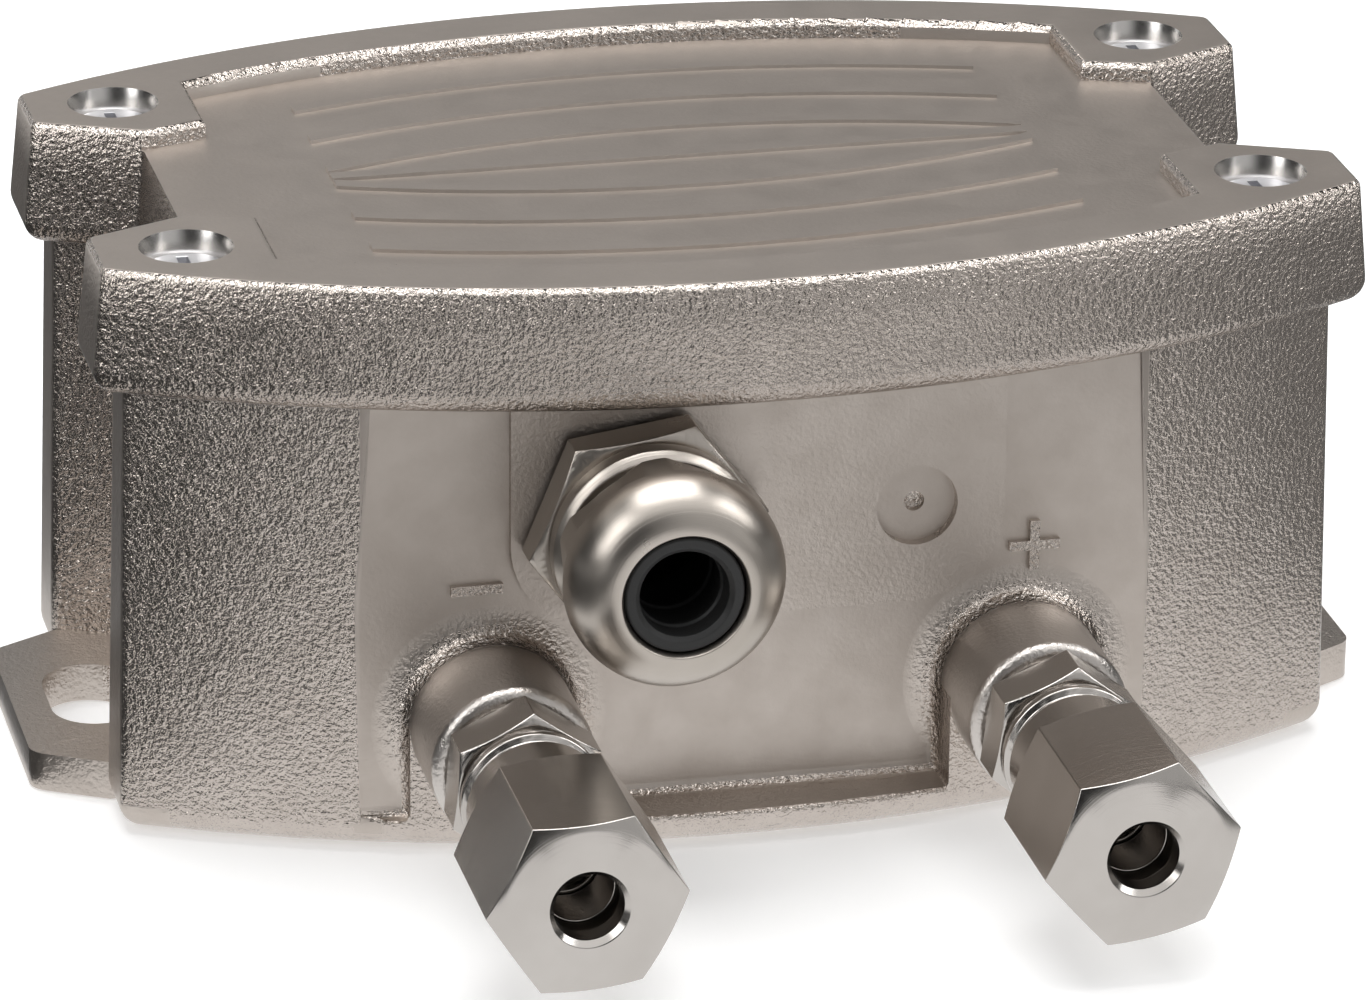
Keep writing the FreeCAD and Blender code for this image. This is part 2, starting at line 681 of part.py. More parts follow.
# ---------------------------------------------------------------- lid
def make_lid():
    """The cast lid: flared skirt, raised rim and corner blocks, sunk field with low ribs."""
    body = new_piece("lid")
    outline = new_sketch(body, "XY_Plane", lid_top)
    add_barrel(outline, as_size(0))
    extrude(body, "Pad", outline, size.lid_height, reverse=True)
    slant_sides(body, size.lid_flare)
    dress(body, "Fillet", size.corner_round, lambda at, edge: upright(edge))
    dress(body, "Fillet", size.lid_lower_round, lambda at, edge: level(edge, size.base_height))
    field = new_sketch(body, "XY_Plane", lid_top)
    add_field(field)
    extrude(body, "Pocket", field, size.lid_field_depth)
    dress(body, "Fillet", size.lid_upper_round, lambda at, edge: level(edge, lid_top))
    add_ribs(body)
    hollow = new_sketch(body, "XY_Plane", size.base_height)
    add_cavity(hollow, 0)
    extrude(body, "Pocket", hollow, size.lid_height - size.lid_field_depth - size.lid_plate,
            reverse=True)
    groove = new_sketch(body, "XY_Plane", size.base_height)
    add_cavity(groove, size.gasket_edge + size.gasket_width + size.thread_gap)
    add_cavity(groove, size.gasket_edge - size.thread_gap)
    extrude(body, "Pocket", groove, size.gasket_thick, reverse=True)
    for radius, depth in ((size.counterbore_radius, size.screw_sink + size.screw_head),
                          (size.screw_radius + size.lift_gap, size.lid_height + 1)):
        holes = new_sketch(body, "XY_Plane", lid_top)
        for name, x, y in screw_places():
            add_circle(holes, x, y, radius)
        extrude(body, "Pocket", holes, depth)
    return body


def add_field(sketch):
    """The sunk field: inside the rim, between the corner blocks, open at the notches."""
    half_width = size.lid_half_width - size.lid_rim
    block = size.lid_half_length - size.lid_block_length
    past = size.lid_half_length - size.notch_depth + 3
    corner = arc_y(half_width, block)
    right = [(block, -corner), (block, -size.lid_block_width), (past, 1 - size.notch_floor),
             (past, size.notch_floor - 1), (block, size.lid_block_width), (block, corner)]
    left = [(-x, -y) for x, y in right]
    add_loop(sketch, right + left,
             {5: (0, -size.arc_offset, True), 11: (0, size.arc_offset, True)})


def add_ribs(body):
    """Low bars on the field: one straight, the others following the long sides."""
    field = lid_top - size.lid_field_depth
    half = size.rib_width / 2
    end = size.lid_half_length - size.lid_block_length - size.rib_margin
    sketch = new_sketch(body, "XY_Plane", field - 1)
    add_box(sketch, -end, end, -half, half)
    for step in (1, 2, 3):
        near, far = size.rib_pitch * step - half, size.rib_pitch * step + half
        for side in (-1, 1):
            corners = [(end, side * arc_y(near, end)), (end, side * arc_y(far, end)),
                       (-end, side * arc_y(far, end)), (-end, side * arc_y(near, end))]
            centre = -side * size.arc_offset
            add_loop(sketch, corners, {1: (0, centre, side > 0), 3: (0, centre, side < 0)})
    extrude(body, "Pad", sketch, size.rib_height + 1)


def make_gasket():
    """The flat gasket in the lid's groove."""
    body = new_piece("lid_gasket")
    sketch = new_sketch(body, "XY_Plane", size.base_height)
    add_cavity(sketch, size.gasket_edge + size.gasket_width)
    add_cavity(sketch, size.gasket_edge)
    extrude(body, "Pad", sketch, size.gasket_thick)


def make_lid_screw(name, x, y):
    """A captive cross-head screw."""
    body = new_piece("lid_screw_" + name)
    head, rim, depth = size.screw_head_radius, size.screw_head, size.screw_length
    dome = size.lid_upper_round
    turn(body, "Revolution", [(0, -depth), (size.screw_radius - 0.6, -depth),
                              (size.screw_radius, 0.6 - depth), (size.screw_radius, 0), (head, 0),
                              (head, rim - dome), (head - dome, rim), (0, rim)],
         {5: (head - dome, rim - dome, True)})
    add_cross(body, rim, head * 0.6, head * 0.13, rim * 0.55)
    place(body, x, y, lid_top - size.screw_sink - rim)


def add_cross(body, top, reach, half, depth):
    """A cross recess in a screw head."""
    sketch = new_sketch(body, "XY_Plane", top)
    corners = [(reach, -half), (reach, half), (half, half), (half, reach), (-half, reach),
               (-half, half), (-reach, half), (-reach, -half), (-half, -half), (-half, -reach),
               (half, -reach), (half, -half)]
    add_loop(sketch, corners)
    extrude(body, "Pocket", sketch, depth)


# ---------------------------------------------------------------- pressure ports
def cut_corners(body, flats, face, step, angle=30):
    """Turn the corners of a hexagon down to a cone; step is +1 at an upper face, -1 at a lower."""
    inner, outer = flats * 0.49, flats * 0.62
    drop = (outer - inner) * math.tan(math.radians(angle))
    turn(body, "Groove", [(inner, face), (outer, face - step * drop), (outer, face + step * 2),
                          (inner, face + step * 2)])


def at_port(body, side, rotation=0):
    """Place a turned piece on the face of one port boss."""
    place(body, side * size.port_place, -boss_face, size.port_height,
          front_post.multiply(Rotation(Vector(0, 0, 1), rotation)))


def make_port_seal(name, side):
    """The sealing washer between boss and adapter."""
    body = new_piece("port_seal_" + name)
    inner, outer = size.stud_radius + size.clear_gap, size.port_hex / 2 - size.clear_gap
    turn(body, "Revolution", [(inner, 0), (outer, 0), (outer, size.port_seal), (inner, size.port_seal)])
    at_port(body, side)


def make_adapter(name, side, rotation):
    """A threaded port adapter with a cone for the cutting ring and a hose nipple inside."""
    body = new_piece("port_adapter_" + name)
    rear = -size.stud_length
    hexagon = new_sketch(body, "XY_Plane", size.port_seal)
    add_hexagon(hexagon, size.port_hex, turned=True)
    extrude(body, "Pad", hexagon, size.port_hex_length)
    shoulder = size.port_seal + size.port_hex_length
    cut_corners(body, size.port_hex, shoulder, 1)
    turn(body, "Revolution", [
        (0, rear - size.nipple_length), (size.nipple_radius - 0.4, rear - size.nipple_length),
        (size.nipple_radius, rear - size.nipple_length + 0.8), (size.nipple_radius, rear),
        (size.stud_radius - 0.6, rear), (size.stud_radius, rear + 0.6),
        (size.stud_radius, size.port_seal), (size.stud_radius, shoulder),
        (size.neck_radius - 0.6, shoulder), (size.neck_radius - 0.6, shoulder + 0.8),
        (size.neck_radius + 0.15, shoulder + 0.8), (size.neck_radius + 0.15, shoulder + 1.8),
        (size.neck_radius - 0.5, shoulder + 2.1), (size.neck_radius - 0.5, shoulder + 2.7),
        (size.neck_radius, shoulder + 3.2), (size.neck_radius, size.neck_end - 0.6),
        (size.neck_radius - 0.6, size.neck_end), (0, size.neck_end)])
    depth = size.ring_nose + size.clear_gap
    cone = slope(as_size(12)) * depth
    mouth, bottom = size.ring_mouth, size.neck_end - depth
    turn(body, "Groove", [
        (0, rear - size.nipple_length - 1), (size.flow_radius, rear - size.nipple_length - 1),
        (size.flow_radius, bottom - size.socket_depth),
        (size.tube_radius, bottom - size.socket_depth), (size.tube_radius, bottom),
        (mouth - cone, bottom), (mouth, size.neck_end), (mouth, size.neck_end + 1),
        (0, size.neck_end + 1)])
    at_port(body, side, rotation)


def make_cutting_ring(name, side):
    """The ring that is pressed onto the tube between adapter and union nut."""
    body = new_piece("cutting_ring_" + name)
    cone = slope(as_size(12)) * size.ring_nose
    face = size.neck_end
    nose = size.ring_mouth - size.clear_gap
    tip = face - size.ring_nose
    collar = face + size.ring_collar
    rear = collar + size.ring_radius - size.nut_bore - size.ring_collar / 2
    turn(body, "Revolution", [
        (size.nut_bore, tip), (nose - cone, tip), (nose, face), (size.ring_radius, face),
        (size.ring_radius, collar), (size.nut_bore + size.ring_collar / 2, rear),
        (size.nut_bore, rear)])
    at_port(body, side)


def make_union_nut(name, side, rotation):
    """The hexagon nut that closes a cutting-ring joint."""
    body = new_piece("union_nut_" + name)
    start, end = size.nut_start, size.nut_start + size.nut_length
    hexagon = new_sketch(body, "XY_Plane", start)
    add_hexagon(hexagon, size.nut_flats)
    extrude(body, "Pad", hexagon, size.nut_length)
    cut_corners(body, size.nut_flats, end, 1)
    thread = size.neck_radius + size.turn_gap
    cone = size.neck_end + 1.2
    turn(body, "Groove", [
        (0, start - 1), (thread + 0.5, start - 1), (thread + 0.5, start), (thread, start + 0.5),
        (thread, cone), (size.nut_bore, cone + thread - size.nut_bore),
        (size.nut_bore, end - 0.6), (size.nut_bore + 0.6, end), (size.nut_bore + 0.6, end + 1),
        (0, end + 1)])
    at_port(body, side, rotation)


# ---------------------------------------------------------------- cable gland
dome_end = size.dome_start + size.dome_length
body_end = size.dome_start + 2.4
seal_floor = size.gland_seal + size.gland_hex_length


def at_gland(body, rotation=0):
    """Place a turned piece on the gland pad."""
    place(body, -size.gland_place, -pad_face, gland_height,
          front_post.multiply(Rotation(Vector(0, 0, 1), rotation)))


def make_gland_base_ring():
    """The flat sealing ring under the gland body."""
    body = new_piece("gland_base_ring")
    inner, outer = size.gland_stud + size.clear_gap, size.gland_hex / 2 - size.clear_gap
    turn(body, "Revolution", [(inner, 0), (outer, 0), (outer, size.gland_seal),
                              (inner, size.gland_seal)])
    at_gland(body)


def make_gland_body(rotation):
    """The hollow gland body: stud, hexagon, collar and front thread."""
    body = new_piece("gland_body")
    sketch = new_sketch(body, "XY_Plane", size.gland_seal)
    add_hexagon(sketch, size.gland_hex)
    extrude(body, "Pad", sketch, size.gland_hex_length)
    cut_corners(body, size.gland_hex, seal_floor, 1)
    collar = seal_floor + size.gland_collar_length
    neck = size.gland_thread - 0.4
    turn(body, "Revolution", [
        (0, -size.gland_stud_length), (size.gland_stud - 0.6, -size.gland_stud_length),
        (size.gland_stud, 0.6 - size.gland_stud_length), (size.gland_stud, size.gland_seal),
        (size.gland_stud, seal_floor), (size.gland_collar_radius - 0.5, seal_floor),
        (size.gland_collar_radius, seal_floor + 0.5), (size.gland_collar_radius, collar - 0.8),
        (size.gland_collar_radius - 0.8, collar), (neck, collar), (neck, size.dome_start),
        (size.gland_thread, size.dome_start + 0.4), (size.gland_thread, body_end), (0, body_end)])
    turn(body, "Groove", [
        (0, -size.gland_stud_length - 1), (size.insert_bore + 1, -size.gland_stud_length - 1),
        (size.insert_bore + 1, seal_floor), (size.insert_bore + size.insert_wall, seal_floor),
        (size.insert_bore + size.insert_wall, body_end + 1), (0, body_end + 1)])
    at_gland(body, rotation)


def make_gland_seal():
    """The rubber sealing insert."""
    body = new_piece("gland_seal")
    outer = size.insert_bore + size.insert_wall - size.clear_gap
    mouth = size.dome_mouth - size.clear_gap
    turn(body, "Revolution", [
        (size.insert_bore, seal_floor), (outer, seal_floor), (outer, body_end + 1),
        (mouth - 0.5, dome_end - 2.4), (mouth - 0.5, dome_end - 1.0),
        (size.insert_bore + 0.5, dome_end - 1.0), (size.insert_bore, dome_end - 1.5)])
    at_gland(body)


def make_gland_claw():
    """The slotted clamping ring round the insert."""
    body = new_piece("gland_claw")
    inner = size.insert_bore + size.insert_wall
    outer = size.gland_thread - size.clear_gap
    band, tips = body_end + size.claw_length / 3, body_end + size.claw_length
    turn(body, "Revolution", [
        (inner, body_end), (outer, body_end), (outer, band),
        (outer - size.claw_length * 0.4, tips), (inner, tips)])
    slots = new_sketch(body, "XY_Plane", tips)
    for step in range(CLAW_FINGERS // 2):
        angle = math.pi * 2 * step / CLAW_FINGERS
        along = Vector(math.cos(angle), math.sin(angle), 0)
        across = Vector(-along.y, along.x, 0) * 0.4
        for side in (-1, 1):
            points = [along * side * 5 - across, along * side * 10 - across,
                      along * side * 10 + across, along * side * 5 + across]
            add_loop(slots, [(point.x, point.y) for point in points])
    extrude(body, "Pocket", slots, size.claw_length * 0.6)
    at_gland(body)


def make_dome_nut(rotation):
    """The dome nut that squeezes the insert onto the cable."""
    body = new_piece("gland_dome_nut")
    sketch = new_sketch(body, "XY_Plane", size.dome_start)
    add_hexagon(sketch, size.dome_flats)
    extrude(body, "Pad", sketch, size.dome_length)
    lip = size.dome_mouth + 0.9
    widest = size.dome_start + 4.4
    drop, rise = size.dome_radius - lip, dome_end - widest
    bend = (drop * drop + rise * rise) / (drop * 2)
    outside = size.dome_flats * 0.65
    turn(body, "Groove", [
        (size.dome_radius, widest), (lip, dome_end), (lip, dome_end + 1), (outside, dome_end + 1),
        (outside, size.dome_start - 1), (size.dome_radius - 0.7, size.dome_start - 1),
        (size.dome_radius - 0.7, size.dome_start), (size.dome_radius, size.dome_start + 0.7)],
         {0: (size.dome_radius - bend, widest, True)})
    thread = size.gland_thread + size.turn_gap
    turn(body, "Groove", [
        (0, size.dome_start - 1), (thread, size.dome_start - 1), (thread, body_end + 1.4),
        (size.dome_mouth, body_end + 1.4 + (thread - size.dome_mouth)),
        (size.dome_mouth, dome_end - 0.5), (size.dome_mouth + 0.4, dome_end),
        (size.dome_mouth + 0.4, dome_end + 1), (0, dome_end + 1)])
    at_gland(body, rotation)


# ---------------------------------------------------------------- inside
def make_sensor():
    """The differential pressure sensor under the board, with two hose nipples."""
    body = new_piece("pressure_sensor")
    top, front = size.board_height, size.sensor_front
    sketch = new_sketch(body, "XY_Plane", top)
    add_box(sketch, -size.sensor_half_length, size.sensor_half_length, front,
            front + size.sensor_depth)
    extrude(body, "Pad", sketch, size.sensor_thick, reverse=True)
    for radius, kind, start, length in ((size.nipple_radius, "Pad", front + 1, 5.5),
                                        (size.flow_radius, "Pocket", front + 2, 8)):
        nipples = new_sketch(body, "XZ_Plane", -start)
        for side in (-1, 1):
            add_circle(nipples, side * size.sensor_port, size.port_height, radius)
        extrude(body, kind, nipples, length, reverse=kind == "Pocket")


def make_hose(name, side):
    """The flexible hose from a port adapter to the sensor, in two quarter bends."""
    body = new_piece("hose_" + name)
    bend = (size.port_place - size.sensor_port) / 2
    start = boss_face - size.stud_length - size.nipple_length
    inlet = -start - 5.5
    first = -start + 0.5
    last = first + bend * 2
    path = new_sketch(body, "XY_Plane", size.port_height)
    add_path(path, [(side * size.port_place, inlet), (side * size.port_place, first),
                    (side * (size.port_place - bend), first + bend),
                    (side * size.sensor_port, last), (side * size.sensor_port, size.sensor_front)],
             {1: (side * (size.port_place - bend), first, side > 0),
              2: (side * (size.port_place - bend), last, side < 0)})
    ring = new_sketch(body, "XZ_Plane", -inlet)
    add_circle(ring, side * size.port_place, size.port_height, size.hose_radius)
    add_circle(ring, side * size.port_place, size.port_height, size.nipple_radius + size.hose_gap)
    doc.recompute()
    pipe = body.newObject("PartDesign::AdditivePipe", body.Name + "_pipe")
    pipe.Profile = ring
    pipe.Spine = path
    check_change(body, pipe, 0, True)


def make_hose_clips():
    """The four clamping rings on the hose ends."""
    body = new_piece("hose_clips")
    body.AllowCompound = True
    inner = size.hose_radius + size.thread_gap
    rear = boss_face - size.stud_length - size.nipple_length + 4.5
    for place_x, height in ((size.port_place, rear), (size.sensor_port, 3 - size.sensor_front)):
        sketch = new_sketch(body, "XZ_Plane", height)
        for side in (-1, 1):
            add_circle(sketch, side * place_x, size.port_height, inner)
            add_circle(sketch, side * place_x, size.port_height, inner + 0.8)
        extrude(body, "Pad", sketch, 2, reverse=True)


def make_board():
    """The circuit board on its four posts."""
    body = new_piece("circuit_board")
    sketch = new_sketch(body, "XY_Plane", size.board_height)
    half = board_half_length
    add_box(sketch, -half, half, -board_front, board_rear)
    for x, y in post_places():
        add_circle(sketch, x, y, size.small_screw + size.clear_gap)
    extrude(body, "Pad", sketch, size.board_thick)


def make_board_screws():
    """The four pan-head screws of the board, as one group."""
    body = new_piece("board_screws")
    body.AllowCompound = True
    half = size.slot_width / 2
    heads = new_sketch(body, "XY_Plane", board_top)
    shanks = new_sketch(body, "XY_Plane", board_top + size.slot_width)
    slots = new_sketch(body, "XY_Plane", board_top + size.small_head_height)
    for x, y in post_places():
        add_circle(heads, x, y, size.small_head)
        add_circle(shanks, x, y, size.small_screw)
        add_box(slots, x - size.small_head * 1.2, x + size.small_head * 1.2, y - half, y + half)
    extrude(body, "Pad", heads, size.small_head_height)
    extrude(body, "Pad", shanks, size.small_screw_length, reverse=True)
    extrude(body, "Pocket", slots, size.small_head_height * 0.4)


def terminal_places():
    """The x of each terminal."""
    middle = (TERMINALS - 1) / 2
    return [-size.terminal_place + size.terminal_pitch * (step - middle) for step in range(TERMINALS)]


def make_terminals():
    """The terminal block beside the gland, and its clamp screws as one group."""
    block = new_piece("terminal_block")
    bottom = board_top
    top = bottom + size.terminal_height
    front = board_front - size.terminal_inset
    half = size.terminal_pitch * TERMINALS / 2
    sketch = new_sketch(block, "XY_Plane", bottom)
    add_box(sketch, -size.terminal_place - half, -size.terminal_place + half, -front,
            size.terminal_depth - front)
    extrude(block, "Pad", sketch, size.terminal_height)
    wells = new_sketch(block, "XY_Plane", top)
    mouths = new_sketch(block, "XZ_Plane", front)
    for x in terminal_places():
        add_circle(wells, x, size.terminal_depth / 2 - front, size.terminal_screw + size.clear_gap)
        half = size.terminal_mouth / 2
        add_box(mouths, x - half, x + half, bottom + half * 0.75, bottom + half * 2.75)
    extrude(block, "Pocket", wells, size.terminal_well)
    extrude(block, "Pocket", mouths, size.terminal_depth * 0.8)
    screws = new_piece("terminal_screws")
    screws.AllowCompound = True
    floor = top - size.terminal_well
    heads = new_sketch(screws, "XY_Plane", floor)
    slots = new_sketch(screws, "XY_Plane", floor + size.terminal_head)
    reach, half = size.terminal_screw * 1.2, size.slot_width / 2
    for x in terminal_places():
        y = size.terminal_depth / 2 - front
        add_circle(heads, x, y, size.terminal_screw)
        add_box(slots, x - reach, x + reach, y - half, y + half)
    extrude(screws, "Pad", heads, size.terminal_head)
    extrude(screws, "Pocket", slots, size.terminal_head * 0.4)


def make_earth():
    """The inner earth screw and its square clamp plate."""
    plate = new_piece("earth_clamp")
    sketch = new_sketch(plate, "XY_Plane", size.earth_height)
    x, y, half = -earth_place, -size.earth_side, size.post_radius + 0.6
    add_box(sketch, x - half, x + half, y - half, y + half)
    add_circle(sketch, x, y, size.earth_screw + size.clear_gap)
    extrude(plate, "Pad", sketch, size.earth_plate)
    screw = new_piece("earth_screw")
    shank, head = size.earth_screw, size.earth_screw * 1.75
    height = size.earth_screw * 1.3
    turn(screw, "Revolution", [(0, -shank * 4.6), (shank, -shank * 4.6), (shank, 0), (head, 0),
                               (head, height * 0.75), (head - shank * 0.3, height), (0, height)])
    slot = new_sketch(screw, "XY_Plane", height)
    add_box(slot, -head * 1.2, head * 1.2, -size.slot_width * 0.7, size.slot_width * 0.7)
    extrude(screw, "Pocket", slot, height * 0.4)
    place(screw, x, y, size.earth_height + size.earth_plate)


# ---------------------------------------------------------------- assembly
make_housing()
make_lid()
make_gasket()
for name, x, y in screw_places():
    make_lid_screw(name, x, y)
for name, side, hex_turn, nut_turn in (("minus", -1, -4.4, 3.1), ("plus", 1, -7.2, 11.1)):
    make_port_seal(name, side)
    make_adapter(name, side, hex_turn)
    make_cutting_ring(name, side)
    make_union_nut(name, side, nut_turn)
    make_hose(name, side)
make_gland_base_ring()
make_gland_body(8)
make_gland_seal()
make_gland_claw()
make_dome_nut(-20)
make_sensor()
make_hose_clips()
make_board()
make_board_screws()
make_terminals()
make_earth()

doc.recompute()
for item in doc.Objects:
    if "Invalid" in item.State or "Error" in item.State:
        raise ValueError(item.Label + " is not valid")
os.makedirs("parts", exist_ok=True)
for piece in PIECES:
    if piece.Shape.isNull() or not piece.Shape.isValid():
        raise ValueError(piece.Label + " has no valid shape")
    piece.Shape.exportStep("parts/%s.step" % piece.Label)
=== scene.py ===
# %% [markdown]
# # A differential pressure transmitter in cast metal
# The real object is a small barrel-shaped case of nickel-plated die casting. A screwed lid closes it,
# two cutting-ring joints take the pressure tubes, and a gland takes the cable. The solids come from
# the CAD frame. Here each one gets its finish: softened edges, cast skin, turned and milled steel.

# %% Load the frame
import bmesh
import bpy
import json
import math
from mathutils import Matrix, Vector


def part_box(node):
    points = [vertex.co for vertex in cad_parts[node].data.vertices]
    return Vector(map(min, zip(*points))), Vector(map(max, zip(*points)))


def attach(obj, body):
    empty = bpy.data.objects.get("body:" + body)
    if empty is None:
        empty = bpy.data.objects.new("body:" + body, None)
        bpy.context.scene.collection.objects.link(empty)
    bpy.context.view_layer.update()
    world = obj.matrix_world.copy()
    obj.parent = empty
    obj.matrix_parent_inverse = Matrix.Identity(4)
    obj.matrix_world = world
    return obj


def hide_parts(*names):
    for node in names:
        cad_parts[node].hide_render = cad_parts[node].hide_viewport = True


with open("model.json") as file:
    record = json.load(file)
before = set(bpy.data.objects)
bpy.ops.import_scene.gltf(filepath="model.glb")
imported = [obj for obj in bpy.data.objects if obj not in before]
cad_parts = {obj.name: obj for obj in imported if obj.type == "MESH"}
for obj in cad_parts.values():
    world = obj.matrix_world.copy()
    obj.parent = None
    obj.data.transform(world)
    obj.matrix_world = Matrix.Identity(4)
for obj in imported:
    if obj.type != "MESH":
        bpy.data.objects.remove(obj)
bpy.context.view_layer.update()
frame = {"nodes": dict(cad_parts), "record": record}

# %% [markdown]
# All pieces are in metres. A few places and sizes of the case are used by several cells, so they are
# named here. The helpers below keep the rest of the file short: they make an empty material and add
# nodes to it.

# %% Units, places and small helpers
MM = 0.001
PORT_X, PORT_Z = 27 * MM, 13.2 * MM
GLAND_X, GLAND_Z = -12.1 * MM, 33.1 * MM
SCREW_X, SCREW_Y = 54.4 * MM, 21.2 * MM
FRONT_Y = -33.6 * MM
FRONT_LEAN = math.tan(math.radians(1.3))
BOSS_ROOT_Y = -35.2 * MM
WALL_RADIUS, WALL_CENTRE_Y, BASE_TOP = 134.3 * MM, 95 * MM, 47 * MM


def new_material(name):
    """A material with an empty node tree."""
    material = bpy.data.materials.new(name)
    material.use_nodes = True
    material.node_tree.nodes.clear()
    return material


def add_node(tree, kind, place=(0, 0), **settings):
    """Adds one node and sets its properties; values for sockets go in as inputs={...}."""
    node = tree.nodes.new(kind)
    node.location = place
    inputs = settings.pop("inputs", {})
    for name, value in settings.items():
        setattr(node, name, value)
    for name, value in inputs.items():
        node.inputs[name].default_value = value
    return node


def add_math(tree, operation, first, second=None, clamp=False):
    """A Math node; each argument is a socket or a number. Returns its output."""
    node = tree.nodes.new("ShaderNodeMath")
    node.operation = operation
    node.use_clamp = clamp
    for index, value in enumerate((first, second)):
        if value is None:
            continue
        if isinstance(value, (int, float)):
            node.inputs[index].default_value = value
        else:
            tree.links.new(value, node.inputs[index])
    return node.outputs[0]


# %% [markdown]
# ## Shader groups shared by the metals
# Die-cast metal keeps the dimpled skin of its mould, and every touched surface has a fine grain and
# a few smears where the plating reflects a little less sharply. Both effects are used by several
# materials, so each is a node group that puts out a height and a mask, and the Principled shader
# stays in the material.

# %% Group: dimpled casting skin
def new_group(name, inputs, outputs):
    """An empty shader group with named sockets; inputs are (name, kind, value)."""
    group = bpy.data.node_groups.new(name, "ShaderNodeTree")
    for label, kind, value in inputs:
        socket = group.interface.new_socket(label, in_out="INPUT", socket_type="NodeSocket" + kind)
        if value is not None:
            socket.default_value = value
    for label, kind in outputs:
        group.interface.new_socket(label, in_out="OUTPUT", socket_type="NodeSocket" + kind)
    return group, add_node(group, "NodeGroupInput"), add_node(group, "NodeGroupOutput")


def make_cast_skin_group():
    """Height of a dimpled mould skin, and a mask of its deepest pits."""
    group, start, end = new_group(
        "cast_skin",
        (("Vector", "Vector", None), ("Dimples per metre", "Float", 2100.0),
         ("Grain per metre", "Float", 5500.0), ("Grain share", "Float", 0.22)),
        (("Height", "Float"), ("Pits", "Float")))
    coarse = add_node(group, "ShaderNodeTexNoise", inputs={"Detail": 2.0, "Roughness": 0.5})
    fine = add_node(group, "ShaderNodeTexNoise", inputs={"Detail": 1.0, "Roughness": 0.5})
    for noise, scale in ((coarse, "Dimples per metre"), (fine, "Grain per metre")):
        group.links.new(start.outputs["Vector"], noise.inputs["Vector"])
        group.links.new(start.outputs[scale], noise.inputs["Scale"])
    grain = add_math(group, "MULTIPLY", fine.outputs[0], start.outputs["Grain share"])
    height = add_math(group, "ADD", coarse.outputs[0], grain)
    group.links.new(height, end.inputs["Height"])
    pits = add_node(group, "ShaderNodeMapRange",
                    inputs={"From Min": 0.36, "From Max": 0.56, "To Min": 1.0, "To Max": 0.0})
    group.links.new(coarse.outputs[0], pits.inputs["Value"])
    group.links.new(pits.outputs[0], end.inputs["Pits"])
    return group


cast_skin = make_cast_skin_group()
print("group", cast_skin.name, "puts out", [s.name for s in cast_skin.interface.items_tree])


# %% Group: handling smears
def make_smears_group():
    """A slow, cloudy mask for plating that is a little duller in places."""
    group, start, end = new_group(
        "smears",
        (("Vector", "Vector", None), ("Clouds per metre", "Float", 60.0), ("Low", "Float", 0.35),
         ("High", "Float", 0.7)),
        (("Mask", "Float"),))
    noise = add_node(group, "ShaderNodeTexNoise", inputs={"Detail": 5.0, "Roughness": 0.6})
    group.links.new(start.outputs["Vector"], noise.inputs["Vector"])
    group.links.new(start.outputs["Clouds per metre"], noise.inputs["Scale"])
    ramp = add_node(group, "ShaderNodeMapRange")
    group.links.new(noise.outputs[0], ramp.inputs["Value"])
    group.links.new(start.outputs["Low"], ramp.inputs["From Min"])
    group.links.new(start.outputs["High"], ramp.inputs["From Max"])
    group.links.new(ramp.outputs[0], end.inputs["Mask"])
    return group


smears = make_smears_group()
print("group", smears.name)


# %% [markdown]
# Where the port bosses meet the flat front, the mould was hollowed by hand: the metal sweeps up to
# the boss in a hammered ring a few millimetres wide. The ring is the same round both bosses, so the
# group below measures the distance to the nearer boss axis and turns it into a mask and a height.

# %% Group: hollow round the port bosses
def make_hollow_group():
    """Mask and height of the swept hollow round the two port bosses."""
    group, start, end = new_group(
        "boss_hollow",
        (("Vector", "Vector", None), ("Outer radius", "Float", 12 * MM),
         ("Sweep radius", "Float", 7 * MM)),
        (("Mask", "Float"), ("Height", "Float")))
    parts = add_node(group, "ShaderNodeSeparateXYZ")
    group.links.new(start.outputs["Vector"], parts.inputs[0])
    across = add_math(group, "SUBTRACT", add_math(group, "ABSOLUTE", parts.outputs["X"]), PORT_X)
    above = add_math(group, "SUBTRACT", parts.outputs["Z"], PORT_Z)
    flat = add_math(group, "ADD", add_math(group, "MULTIPLY", across, across),
                    add_math(group, "MULTIPLY", above, above))
    distance = add_math(group, "SQRT", flat)
    within = add_math(group, "SUBTRACT", start.outputs["Outer radius"], distance)
    within = add_math(group, "MAXIMUM", within, 0.0)
    in_front = add_math(group, "LESS_THAN", parts.outputs["Y"], -33 * MM)
    near_wall = add_math(group, "GREATER_THAN", parts.outputs["Y"], BOSS_ROOT_Y)
    here = add_math(group, "MULTIPLY", in_front, near_wall)
    rise = add_math(group, "MULTIPLY", within, within)
    rise = add_math(group, "DIVIDE", rise, start.outputs["Sweep radius"])
    rise = add_math(group, "MULTIPLY", rise, 0.5)
    group.links.new(add_math(group, "MULTIPLY", rise, here), end.inputs["Height"])
    fade_in = 1 / (2.5 * MM)
    share = add_math(group, "MULTIPLY", within, fade_in, clamp=True)
    group.links.new(add_math(group, "MULTIPLY", share, here), end.inputs["Mask"])
    return group


boss_hollow = make_hollow_group()
print("group", boss_hollow.name)


# %% [markdown]
# Turned parts keep the fine grooves of the lathe tool. Noise that is sampled only by the distance
# from the turning axis and by the place along it gives rings on a face and bands on a cylinder.

